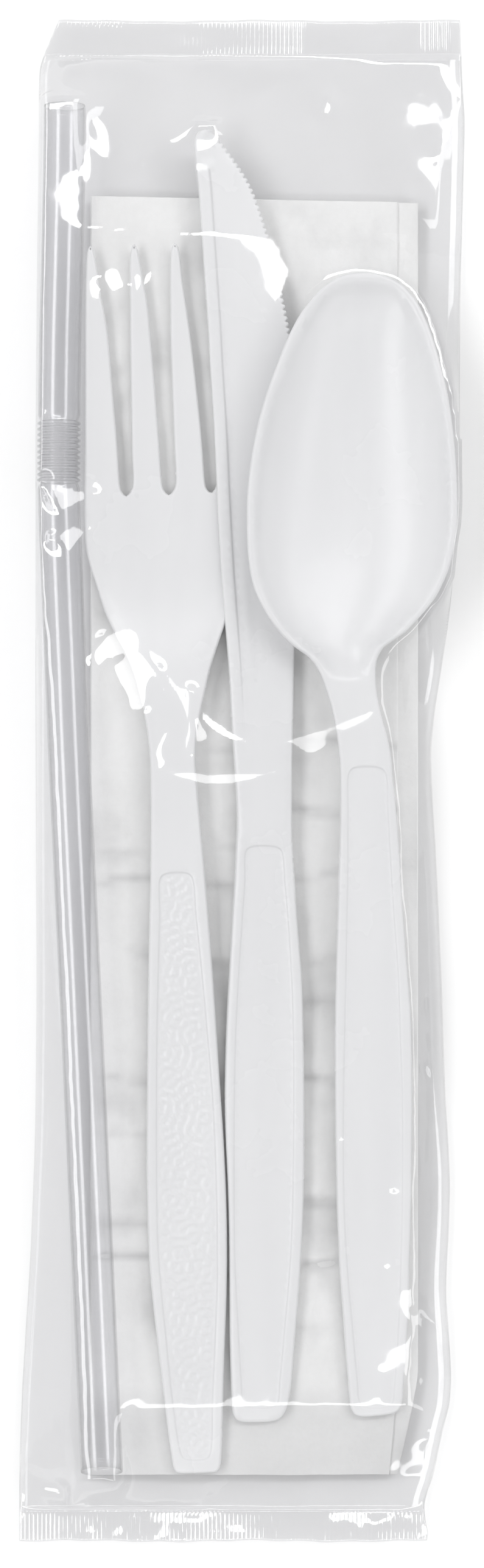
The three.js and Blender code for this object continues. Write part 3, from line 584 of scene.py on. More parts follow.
def spoon_top_z(x, y, d):
    thick = 1.5 * (1 - ramp(y, 0, 26)) + 1.15 * ramp(y, 0, 26)
    z = spoon_rim(y) - 0.45 * thick * (1 - fillet(d, 0.4))
    z = z - bowl_drop(x, y) * ramp(y, 13.5, 17.5)
    s = signed(np.column_stack([x, y]), spoon_pan)
    z = z - 0.26 * ramp(s, -0.16, 0.16)
    z = z - 0.18 * (1 - ramp(y, 15, 22)) * ramp(y, 2, 6) * fillet(np.clip(d - 0.8, 0, None), 1.3)
    return z


def spoon_under_z(x, y, d):
    thick = 1.5 * (1 - ramp(y, 0, 26)) + 1.15 * ramp(y, 0, 26)
    z = spoon_rim(y) - thick + 0.3 * thick * (1 - fillet(d, 0.35))
    return z - bowl_drop(x, y) * ramp(y, 13.5, 17.5)


spoon = moulded("spoon_moulding", spoon_out, spoon_top_z, spoon_under_z, 0.8, [0, 0.03, 0.09, 0.18, 0.3, 0.45, 0.8],
                lines=offset_loops(spoon_pan, (-0.16, -0.05, 0.05, 0.16)))

# ------------------------------------------------------------------ straw
STRAW_R, STRAW_WALL = 3.03, 0.2
STRAW_TOP, STRAW_BOTTOM = 97.6, -99.3
straw_x = spline(STRAW_C)


def straw_z(y):
    return 4.62 + (STRAW_TOP - np.asarray(y)) / (STRAW_TOP - STRAW_BOTTOM) * 2.5


def straw_mesh():
    neck_hi, neck_lo, ribs = 52.0, 43.0, 11
    ys, rs = [], []
    for y in np.linspace(STRAW_TOP, neck_hi + 0.8, 60):
        ys.append(y); rs.append(0.0)
    pitch = (neck_hi - neck_lo) / ribs
    for k in range(ribs * 8 + 1):
        y = neck_hi - k * pitch / 8
        f = (k % 8) / 8
        bump = 0.12 - 0.44 * (0.5 + 0.5 * math.cos(2 * math.pi * f)) ** 1.3
        ys.append(y); rs.append(bump)
    for y in np.linspace(neck_lo - 0.8, STRAW_BOTTOM, 100):
        ys.append(y); rs.append(0.0)
    ys, rs = np.array(ys), np.array(rs)
    n = 72
    ang = np.linspace(0, 2 * np.pi, n, endpoint=False)
    cx, cz = straw_x(ys), straw_z(ys)
    verts = []
    for wall in (0.0, STRAW_WALL):
        for i, y in enumerate(ys):
            r = STRAW_R + rs[i] - wall
            flat = 1.0
            for a in ang:
                verts.append((cx[i] + r * math.cos(a), y, cz[i] + r * math.sin(a) * flat))
    m = len(ys)
    faces = []
    off = m * n
    for i in range(m - 1):
        for j in range(n):
            k = (j + 1) % n
            faces.append((i * n + j, i * n + k, (i + 1) * n + k, (i + 1) * n + j))
            faces.append((off + i * n + j, off + (i + 1) * n + j, off + (i + 1) * n + k, off + i * n + k))
    for j in range(n):
        k = (j + 1) % n
        faces.append((j, off + j, off + k, k))
        e = (m - 1) * n
        faces.append((e + j, e + k, off + e + k, off + e + j))
    return make("straw_tube", verts, faces)


straw = straw_mesh()

# ------------------------------------------------------------------ napkin
NAP_L, NAP_R, NAP_B, NAP_T = -22.1, 25.7, -100.7, 84.7
PITCH, PLY = 0.262, 0.052
Z_TOP = 2.93


def napkin_mesh():
    """One square sheet: folded in half, then into eight panels, zigzag. u runs across the
    panels and v along the pack, over both plies."""
    panels = 8
    path = []                                   # x, z, nx, nz, panel
    left, right = NAP_L + 0.3, NAP_R - 0.3
    for k in range(panels):
        top = k >= panels - 2
        end = 22.45 if top else right
        a, b = (left, end) if k % 2 == 0 else (end, left)
        if k == 6:
            a, b = left, 22.45
        if k == 7:
            a, b = 22.45, left
        if k == 5:
            a, b = right, left
        z = Z_TOP - PITCH * (panels - 1 - k)
        n = 96 if k == 7 else (12 if k >= 5 else 6)
        s = 1.0 if k % 2 == 0 else -1.0
        for t in np.linspace(0, 1, n):
            path.append((a + (b - a) * t, z, 0.0, s, k))
        if k < panels - 1:
            r = PITCH / 2
            for t in np.linspace(0, math.pi, 7)[1:-1]:
                path.append((b + s * r * math.sin(t), z + r - r * math.cos(t),
                             s * math.sin(t), s * math.cos(t), k + 0.5))
    p = np.array(path)
    rows = 200
    vs = np.linspace(0, 1, rows)
    half = [(v, -1.0) for v in vs] + [(1.0 + 0.0011 * math.sin(t), -math.cos(t)) for t in
                                      np.linspace(0, math.pi, 6)[1:-1]] + [(v, 1.0) for v in vs[::-1]]
    m, n = len(half), len(p)
    u = np.repeat(np.array([h[0] for h in half])[:, None], n, 1)
    side = np.repeat(np.array([h[1] for h in half])[:, None], n, 1)
    X = np.repeat(p[None, :, 0], m, 0) - side * PLY * p[None, :, 2]
    Z = np.repeat(p[None, :, 1], m, 0) - side * PLY * p[None, :, 3]
    # the fold in half lies at the top end; it runs very slightly aslant there
    top_y = NAP_T - 0.95 * np.clip((X - NAP_L) / (NAP_R - NAP_L), 0, 1)
    Y = NAP_B + (top_y - NAP_B) * u
    # the lower right corner is turned in a little
    k = np.clip((X - 20.0) / 6.0, 0, 1) * np.clip((-86.0 - Y) / 15.0, 0, 1)
    X = X - 3.4 * k ** 1.2
    weight = np.clip((p[None, :, 4] - 4.5) / 2.5, 0, 1)
    # cross folds and soft creases, pressed into the pile
    lift = np.zeros_like(X)
    for y0, dy, h, w, x0, x1 in (
            (5.4, -0.5, 0.26, 0.7, -22, 26), (-4.9, 0.9, 0.30, 0.8, 2, 26), (-10.3, -0.4, 0.24, 0.6, -22, 2),
            (-14.3, 0.8, 0.42, 0.6, -22, 26), (-26.2, -0.8, 0.26, 0.7, -22, 26), (-33.0, 0.6, 0.30, 0.8, 0, 26),
            (-43.6, -0.6, 0.30, 0.8, -22, 26), (-50.4, 0.5, 0.26, 0.6, -22, 8), (-63.0, 0.9, 0.34, 0.8, -22, 26),
            (-70.4, -0.5, 0.46, 0.55, -22, 26), (-80.0, 0.7, 0.2, 0.8, 0, 26), (24.0, 0.7, 0.22, 0.9, -22, 26),
            (38.0, -0.6, 0.2, 0.9, -22, 26), (60.0, 0.5, 0.16, 1.0, -22, 26)):
        yc = y0 + 1.6 * dy * (X / 22.0) + 1.1 * np.sin(X * 0.17 + y0) + 1.6 * fbm(X * 0.2, Y * 0.0 + y0, 3)
        s = (Y - yc) / w
        along = ramp(X, x0 - 1, x0 + 3) * (1 - ramp(X, x1 - 3, x1 + 1))
        h = h * (0.25 + 1.3 * noise(X * 0.13 + y0, Y * 0.02 + np.full_like(X, y0 * 0.7)))
        lift = lift - h * np.exp(-s * s) * along + 0.45 * h * np.exp(-((s - 1.9) / 1.3) ** 2) * along
    lift = lift + 0.75 * fbm(X * 0.16 + 4, Y * 0.13 + 8, 4) + 0.16 * fbm(X * 0.5, Y * 0.45, 3)
    Z = Z + weight * np.clip(1.5 * lift, -0.85, 0.32) * 0.8
    verts = np.column_stack([X.ravel(), Y.ravel(), Z.ravel()])
    faces = [(i * n + j, i * n + j + 1, (i + 1) * n + j + 1, (i + 1) * n + j)
             for i in range(m - 1) for j in range(n - 1)]
    o = make("napkin_sheet", verts, faces)
    # painted shade: a point attribute that darkens the napkin's colour in its creases and at its lower end
    fold = o.data.attributes.new("fold", "FLOAT", "POINT")
    # painted shade in the creases: the deeper the sheet dips, the darker its colour
    shade = np.clip(-2.0 * lift - 0.02, 0, 1) * weight
    # painted shade: the last few millimetres are darker
    shade = np.maximum(shade, 0.55 * (1 - ramp(Y, -93, -87)))
    fold.data.foreach_set("value", shade.ravel())
    return o


napkin = napkin_mesh()

# ------------------------------------------------------------------ film
film_l, film_r = spline(FILM_L), spline(FILM_R)
SEAL_TOP, SEAL_BOT = 105.4, -106.0
END_TOP, END_BOT = 110.75, -110.75


NX, NY = 150, 452
gy = np.linspace(SEAL_BOT, SEAL_TOP, NY)
gl, gr = film_l(gy), film_r(gy)
gt = np.linspace(0, 1, NX)
GX = gl[:, None] + (gr - gl)[:, None] * gt[None]
GY = np.repeat(gy[:, None], NX, 1)


def obstacle():
    """The highest content under each point of the front sheet."""
    top = np.full((NY, NX), 0.6)
    k = (GX > NAP_L) & (GX < NAP_R) & (GY > NAP_B) & (GY < NAP_T)
    top[k] = 3.1
    for o in (fork, knife, spoon, straw):
        n = len(o.data.vertices)
        co = np.empty(n * 3)
        o.data.vertices.foreach_get("co", co)
        co = co.reshape(-1, 3) / MM
        j = np.clip(np.round((co[:, 1] - gy[0]) / (gy[1] - gy[0])).astype(int), 0, NY - 1)
        i = np.clip(np.round((co[:, 0] - gl[j]) / (gr[j] - gl[j]) * (NX - 1)).astype(int), 0, NX - 1)
        np.maximum.at(top, (j, i), co[:, 2])
    # close small gaps between samples
    for _ in range(2):
        t = top.copy()
        t[:, 1:] = np.maximum(t[:, 1:], top[:, :-1])
        t[:, :-1] = np.maximum(t[:, :-1], top[:, 1:])
        top = t
        t = top.copy()
        t[1:] = np.maximum(t[1:], top[:-1])
        t[:-1] = np.maximum(t[:-1], top[1:])
        top = t
    return top


def hull_rows(top):
    """The tight skin across each row, from the left edge to the right."""
    out = np.empty_like(top)
    for j in range(NY):
        x, z = GX[j], top[j].copy()
        z[0] = z[-1] = 1.25
        h = []
        for i in range(NX):
            while len(h) > 1:
                p, q = h[-2], h[-1]
                if (z[q] - z[p]) * (x[i] - x[p]) <= (z[i] - z[p]) * (x[q] - x[p]):
                    h.pop()
                else:
                    break
            h.append(i)
        out[j] = np.interp(x, x[h], z[h])
    return out


def blur(a, n, axis):
    for _ in range(n):
        b = np.moveaxis(a, axis, 0).copy()
        c = b.copy()
        c[1:-1] = 0.25 * b[:-2] + 0.5 * b[1:-1] + 0.25 * b[2:]
        a = np.moveaxis(c, 0, axis)
    return a


def membrane(h, floor_z, rounds):
    """A taut sheet over what lies under it, held at its four edges."""
    for _ in range(rounds):
        m = h.copy()
        m[1:-1, 1:-1] = 0.25 * (h[:-2, 1:-1] + h[2:, 1:-1] + h[1:-1, :-2] + h[1:-1, 2:])
        m = np.maximum(m, floor_z)
        m[:, 0] = m[:, -1] = m[0] = m[-1] = 1.2
        h = m
    return h


def spread(c, shape):
    """Bilinear enlargement to shape."""
    y, x = np.linspace(0, c.shape[0] - 1, shape[0]), np.linspace(0, c.shape[1] - 1, shape[1])
    a = np.array([np.interp(x, np.arange(c.shape[1]), row) for row in c])
    return np.array([np.interp(y, np.arange(c.shape[0]), col) for col in a.T]).T


stop = obstacle() + 0.3
held = hull_rows(stop)                  # the sheet is drawn straight across the pieces
held = np.where(((gy < 89) & (gy > -95))[:, None], blur(held, 30, 0) - 0.15, 0.8)
# trapped air keeps it up over the tines and the knife's point
top_row = held[np.argmin(abs(gy - 67.0))]
puff = top_row[None] - 0.035 * (gy[:, None] - 67.0)
across = 1 - ramp(GX, 1.0, 14.0)
puff = np.where((gy > 67.0)[:, None] & (gy < 89.0)[:, None], 0.8 + (puff - 0.8) * across, 0.8)
held = np.maximum(np.maximum(held, puff), stop)
c4 = blur(blur(held, 4, 0), 4, 1)[1::4, 1::4]
skin = membrane(np.maximum(c4, 2.0), c4, 500)
skin = membrane(np.maximum(spread(skin, stop.shape), held), held, 220)
skin = blur(blur(skin, 2, 0), 2, 1)
skin = skin - 0.8 * np.clip(skin - 1.6, 0, None) * ramp(GX, 9, 20) * ramp(GY, 77, 89)

# ---- creases: areas of film that face one of the lights
LIGHTS = {"W": (-0.70, 0.0), "E": (0.95, 0.0), "N": (0.1, 0.465), "S": (0.1, -0.48),
          "NW": (-0.66, 0.5), "NE": (0.5, 0.465), "T": (0.03, 0.465), "SW": (-0.68, -0.35), "SE": (0.35, -0.48)}
CREASES = [
    ([(-25.3, 103.7), (-25.7, 101.3), (-23.5, 97.4), (-22.4, 93.1), (-20.7, 89.6), (-18.8, 87.8), (-17.9, 89.6), (-17.2, 91.8), (-15.0, 96.1), (-13.7, 98.7), (-13.0, 101.3), (-13.2, 103.5)], "T", 1),
    ([(-18.7, 88.3), (-15.9, 89.6), (-10.4, 90.9), (-11.8, 89.0), (-13.7, 87.4)], "N", 0.5),
    ([(-6.8, 104.8), (8.8, 103.6), (9.4, 102.5), (5.4, 101.3), (0.2, 98.7), (-3.7, 95.7), (-5.9, 93.9), (-6.8, 99.6)], "T", 1),
    ([(-5.9, 93.9), (-7.6, 94.4), (-10.2, 90.9), (-8.5, 91.2)], "N", 0.4),
    ([(12.4, 103.8), (15.0, 103.1), (16.3, 101.3), (13.7, 101.3)], "N", 1),
    ([(9.8, 105.3), (10.9, 105.3), (10.9, 103.7), (9.8, 103.7)], "N", 1),
    ([(13.5, 99.8), (14.3, 100.7), (17.6, 101.2), (19.0, 101.0), (18.1, 100.0), (15.9, 99.5)], "N", 1),
    ([(10.5, 99.3), (12.9, 99.4), (12.4, 97.9), (10.2, 95.0)], "NW", 1),
    ([(27.2, 103.3), (26.4, 102.0), (25.5, 100.5), (25.1, 98.7), (25.5, 94.8), (26.3, 94.8), (25.9, 98.7), (26.4, 100.6), (27.6, 102.7)], "NE", 0.8),
    ([(31.3, 98.7), (29.4, 92.6), (28.1, 90.4), (28.3, 85.7), (28.2, 76.9), (28.9, 76.9), (29.0, 85.7), (29.0, 90.2), (30.3, 92.5), (31.9, 97.9)], "E", 1),
    ([(30.5, 94.4), (29.8, 85.7), (30.3, 85.7), (30.9, 93.9)], "E", 0.7),
    ([(22.9, 82.9), (24.2, 85.2), (23.6, 85.7), (22.4, 84.1)], "NW", 1),
    ([(18.5, 77.2), (22.6, 77.2), (22.6, 76.2), (18.7, 76.2)], "N", 1),
    ([(18.3, 75.5), (22.6, 75.5), (22.6, 75.1), (18.3, 75.1)], "N", 1),
    ([(18.7, 74.8), (22.4, 74.8), (22.3, 73.8), (18.9, 74.0)], "S", 1),
    ([(9.8, 76.9), (17.6, 76.9), (17.6, 76.2), (10.0, 76.2)], "N", 0.8),
    ([(-20.7, 73.5), (-17.2, 72.8), (-15.9, 70.8), (-18.1, 70.1), (-20.3, 71.7)], "NW", 0.8),
    ([(-16.3, 72.6), (-13.7, 72.1), (-14.1, 70.0), (-16.0, 70.3)], "NW", 0.8),
    ([(-29.2, 43.4), (-25.9, 42.3), (-20.4, 40.8), (-24.2, 39.6), (-26.4, 38.6), (-27.7, 40.8)], "W", 1),
    ([(-28.1, 34.7), (-25.5, 36.0), (-21.3, 35.7), (-23.3, 34.2), (-25.1, 32.1), (-26.1, 34.0)], "W", 1),
    ([(-22.2, 18.5), (-20.3, 20.6), (-17.2, 20.9), (-14.8, 19.9), (-14.1, 18.4), (-16.8, 17.9), (-19.1, 16.8), (-20.7, 16.1), (-21.6, 17.2)], "NW", 1),
    ([(-19.1, 16.8), (-16.8, 17.9), (-14.1, 18.4), (-13.3, 17.2), (-11.8, 15.9), (-13.3, 14.4), (-13.2, 11.6), (-13.7, 10.3), (-14.6, 10.7), (-17.2, 13.3)], "W", 1),
    ([(-11.8, 15.9), (-10.2, 15.1), (-8.1, 13.3), (-6.9, 10.7), (-6.6, 7.2), (-7.3, 3.7), (-8.8, 4.6), (-8.1, 8.1), (-9.4, 11.6), (-11.3, 13.8)], "E", 0.9),
    ([(-8.1, 13.3), (-5.9, 11.6), (-3.3, 9.0), (-0.7, 7.2), (2.0, 5.9), (1.1, 4.4), (-1.5, 5.0), (-4.1, 6.3), (-6.3, 8.1), (-6.9, 10.7)], "N", 1),
    ([(2.0, 5.9), (5.4, 6.3), (10.7, 7.8), (15.5, 9.8), (19.4, 11.4), (17.6, 8.1), (14.2, 5.9), (10.7, 3.3), (8.9, 2.9), (7.2, 4.8), (3.7, 5.0), (1.1, 4.4)], "S", 1),
    ([(8.9, 2.9), (10.7, 3.3), (7.2, 1.1), (2.8, -0.2), (-1.5, -1.2), (-5.9, -1.1), (-9.4, -0.0), (-11.8, 1.8), (-10.2, 2.3), (-5.9, 1.8), (-0.7, 1.8), (3.7, 1.8)], "S", 1),
    ([(-11.8, 1.8), (-12.9, 3.7), (-11.8, 6.3), (-10.7, 8.1), (-9.8, 7.2), (-11.1, 5.3), (-11.3, 3.3), (-10.2, 2.3)], "W", 0.8),
    ([(-6.8, -16.7), (-12.9, -24.2), (-13.7, -23.8), (-7.8, -16.5)], "NW", 0.8),
    ([(-6.9, -20.7), (-8.2, -25.6), (-11.3, -29.6), (-11.8, -29.0), (-9.0, -25.5), (-7.6, -20.7)], "W", 0.7),
    ([(24.2, 15.1), (23.3, -1.5), (22.9, -17.2), (22.2, -17.2), (22.5, -1.5), (23.4, 15.1)], "E", 0.5),
    ([(25.9, -31.1), (27.4, -31.1), (27.1, -34.6), (26.1, -34.3)], "E", 1),
    ([(26.1, -36.4), (27.7, -36.4), (27.5, -39.4), (26.4, -39.1)], "E", 1),
    ([(25.8, -40.7), (27.8, -41.0), (28.1, -43.3), (26.0, -43.0)], "SE", 1),
    ([(26.4, -44.2), (27.4, -44.2), (27.4, -47.7), (26.9, -56.4), (26.3, -56.4), (26.4, -47.7)], "E", 1),
    ([(28.5, -54.2), (29.1, -54.5), (29.0, -57.0), (27.6, -60.9), (27.0, -60.6), (28.3, -56.8)], "E", 1),
    ([(28.1, -62.3), (28.7, -62.7), (27.8, -64.9), (27.1, -64.5)], "E", 1),
    ([(25.5, -58.8), (26.0, -59.0), (26.1, -64.2), (25.5, -64.2)], "W", 1),
    ([(24.1, -62.5), (25.0, -62.7), (25.5, -67.7), (25.8, -71.2), (25.3, -73.1), (24.7, -72.8), (24.9, -71.0), (24.4, -66.0)], "E", 1),
    ([(24.6, -76.4), (26.4, -76.3), (28.5, -78.0), (29.3, -79.6), (26.4, -79.1), (24.6, -78.4)], "SE", 0.6),
    ([(24.9, -86.0), (26.8, -85.9), (26.6, -88.6), (25.2, -88.6)], "E", 1),
    ([(26.4, -87.8), (27.4, -88.6), (28.3, -90.8), (29.0, -87.8), (29.7, -86.0), (29.2, -89.5), (28.1, -92.3), (27.1, -90.8)], "SE", 0.6),
    ([(26.4, -93.9), (28.1, -93.9), (28.1, -96.1), (26.5, -96.1)], "SE", 0.8),
    ([(14.2, -52.0), (14.7, -51.9), (18.2, -56.6), (22.2, -58.3), (22.0, -59.0), (17.5, -57.3)], "SW", 0.35),
    ([(14.2, -58.6), (14.8, -58.4), (18.3, -61.6), (18.0, -62.2)], "SW", 0.3),
    ([(21.1, -59.0), (21.7, -58.8), (22.1, -61.2), (24.3, -65.4), (23.7, -65.8), (21.4, -61.5)], "E", 0.35),
    ([(16.6, -66.0), (17.1, -65.8), (19.3, -71.9), (18.7, -72.3)], "E", 0.3),
    ([(19.7, -69.5), (20.2, -69.2), (24.0, -73.1), (23.5, -73.7)], "SW", 0.3),
    ([(20.4, -85.3), (20.8, -85.5), (19.6, -88.8), (19.0, -88.6)], "E", 0.8),
    ([(-31.8, -98.1), (-23.3, -98.8), (-23.3, -99.5), (-31.8, -98.8)], "S", 1),
    ([(-31.8, -99.5), (-30.7, -99.5), (-30.7, -100.5), (-31.8, -100.5)], "S", 1),
    ([(-29.4, -101.7), (-27.2, -101.3), (-25.1, -102.4), (-25.9, -104.3), (-27.8, -103.8), (-29.2, -103.5)], "SW", 1),
    ([(-24.6, -101.7), (-22.9, -100.0), (-21.6, -100.8), (-20.3, -100.1), (-17.6, -100.8), (-17.9, -101.7), (-20.3, -101.4), (-21.6, -102.2), (-22.8, -101.5), (-23.8, -104.3), (-24.6, -104.2)], "S", 1),
    ([(-15.9, -100.7), (-12.9, -101.3), (-9.2, -104.2), (-9.9, -104.5), (-13.3, -102.2), (-15.9, -101.5)], "S", 1),
    ([(-5.0, -103.9), (-3.3, -103.9), (-3.4, -106.1), (-4.8, -106.1)], "SW", 0.8),
    ([(-2.0, -102.2), (-0.2, -101.5), (1.5, -102.8), (1.1, -103.5), (-0.3, -102.4), (-1.4, -103.5), (-1.2, -105.2), (-2.0, -105.2)], "S", 0.9),
    ([(10.2, -98.5), (13.3, -98.4), (13.3, -99.3), (10.3, -99.4)], "S", 1),
    ([(8.2, -104.9), (14.6, -104.2), (14.6, -104.8), (8.2, -105.5)], "S", 1),
    ([(2.8, -103.6), (5.9, -102.8), (8.9, -101.5), (9.6, -100.2), (10.1, -100.6), (9.3, -101.9), (6.1, -103.5), (3.0, -104.3)], "S", 0.9),
    ([(17.0, -100.8), (18.2, -100.7), (18.3, -101.7), (17.1, -101.9)], "S", 0.9),
    ([(19.6, -94.1), (20.2, -94.3), (18.8, -98.4), (18.2, -98.1)], "E", 0.8),
    ([(21.8, -100.7), (22.7, -97.6), (24.5, -99.5), (23.3, -100.5)], "SE", 1),
    ([(21.6, -103.7), (24.2, -101.9), (26.4, -100.8), (26.7, -101.4), (24.4, -102.6), (22.0, -104.5)], "S", 0.9),
    ([(22.4, -103.1), (24.6, -102.6), (25.0, -105.2), (26.5, -107.1), (25.5, -107.8), (23.1, -106.1)], "SE", 1),
]


# where the sheet falls evenly from the pieces to the seals: y, x, and its slopes
ENDS = [(79.0, 105.0, -23.0, 29.0, 0.0, -0.225), (-105.0, -90.0, -16.5, 27.0, 0.0, 0.225)]


def facing(x, y, z, name):
    """The slope of film at (x, y, z) that mirrors the viewpoint into a light."""
    d = np.stack([x - CAM[0], y - CAM[1], z - CAM[2]], -1)
    d /= np.linalg.norm(d, axis=-1)[..., None]
    u, v = LIGHTS[name]
    r = np.array([u, v, 1.0])
    if name in ("W", "E"):
        r = np.stack([np.full_like(x, u), np.clip(d[..., 1] / -d[..., 2], -0.5, 0.5), np.ones_like(x)], -1)
        r = r / np.linalg.norm(r, axis=-1)[..., None]
    elif name in ("N", "S"):
        r = np.stack([np.clip(d[..., 0] / -d[..., 2], -0.3, 0.3), np.full_like(x, v), np.ones_like(x)], -1)
        r = r / np.linalg.norm(r, axis=-1)[..., None]
    else:
        r = r / np.linalg.norm(r)
    n = r - d
    return -n[..., 0] / n[..., 2], -n[..., 1] / n[..., 2]


def crease_solve():
    hx = (gr - gl)[:, None] / (NX - 1) * np.ones((NY, NX))
    hy = gy[1] - gy[0]
    # wanted slopes between neighbours, and how much each is wanted
    sx = np.diff(skin, axis=1) / hx[:, 1:]
    sy = np.diff(skin, axis=0) / hy
    wx, wy = np.full_like(sx, 0.025), np.full_like(sy, 0.025)
    fine = 0.9 * fbm(GX * 0.10 + 2, GY * 0.06 + 7, 5)
    low = 1 - ramp(GY, SEAL_BOT + 2, SEAL_BOT + 11)
    fine = fine + 1.3 * low * np.abs(fbm(GX * 0.22 + 9, GY * 0.30 + 1, 3)) + 0.6 * low * fbm(GX * 0.5, GY * 0.5, 2)
    high = ramp(GY, 84, 100)
    fine = fine + 0.55 * high * np.abs(fbm(GX * 0.12 + 29, GY * 0.13 + 11, 3))
    sx = sx + 0.5 * np.diff(fine, axis=1) / hx[:, 1:]
    sy = sy + 0.5 * np.diff(fine, axis=0) / hy
    pts = np.column_stack([GX.ravel(), GY.ravel()])
    uneven = 3.0 * fbm(GX * 0.16 + 3, GY * 0.05 + 5, 3)
    for y0, y1, x0, x1, run, fall in ENDS:
        m = (GY + uneven > y0) & (GY + uneven < y1) & (GX + 0.4 * uneven > x0) & (GX + 0.4 * uneven < x1)
        mx, my = m[:, 1:] & m[:, :-1], m[1:] & m[:-1]
        sx[mx] = run + 0.3 * sx[mx]
        sy[my] = fall + 0.25 * sy[my]
        wx[mx] = wy[my] = 0.2
    for loop, light, strength in CREASES:
        poly = np.array(loop)
        m = inside(pts, poly).reshape(NY, NX)
        if not m.any():
            continue
        tx, ty = facing(GX, GY, skin, light)
        mx, my = m[:, 1:] & m[:, :-1], m[1:] & m[:-1]
        sx[mx], sy[my] = tx[:, 1:][mx], ty[1:][my]
        wx[mx] = wy[my] = strength
    lam = 0.0016

    def apply(h):
        gx = (h[:, 1:] - h[:, :-1]) / hx[:, 1:]
        gyv = (h[1:] - h[:-1]) / hy
        out = lam * h
        fx, fy = wx * gx / hx[:, 1:], wy * gyv / hy
        out[:, 1:] += fx
        out[:, :-1] -= fx
        out[1:] += fy
        out[:-1] -= fy
        return out

    b = lam * skin
    fx, fy = wx * sx / hx[:, 1:], wy * sy / hy
    b[:, 1:] += fx
    b[:, :-1] -= fx
    b[1:] += fy
    b[:-1] -= fy
    h = skin.copy()
    # the edges stay where they are
    free = np.ones_like(h)
    free[:, 0] = free[:, -1] = free[0] = free[-1] = 0
    diag = np.full_like(h, lam)
    dx, dy = wx / hx[:, 1:] ** 2, wy / hy ** 2
    diag[:, 1:] += dx
    diag[:, :-1] += dx
    diag[1:] += dy
    diag[:-1] += dy
    r = (b - apply(h)) * free
    zed = r / diag
    p = zed.copy()
    rz = (r * zed).sum()
    for _ in range(900):
        ap = apply(p) * free
        a = rz / (p * ap).sum()
        h += a * p
        r -= a * ap
        zed = r / diag
        new = (r * zed).sum()
        if new < 1e-10:
            break
        p = zed + new / rz * p
        rz = new
    # it settles onto what lies under it
    under = np.maximum(stop - 0.08, 0.8)
    h = np.maximum(h, under * (free > 0))
    for _ in range(420):
        h = h + 0.85 * (b - apply(h)) * free / diag
        h = np.maximum(h, under * (free > 0))
    soft = blur(blur(h, 1, 0), 1, 1)
    return np.maximum(soft, (under - 0.04) * (free > 0))


front = np.clip(crease_solve(), 0.8, 12.0)
front[:, 0] = front[:, -1] = front[0] = front[-1] = 1.2


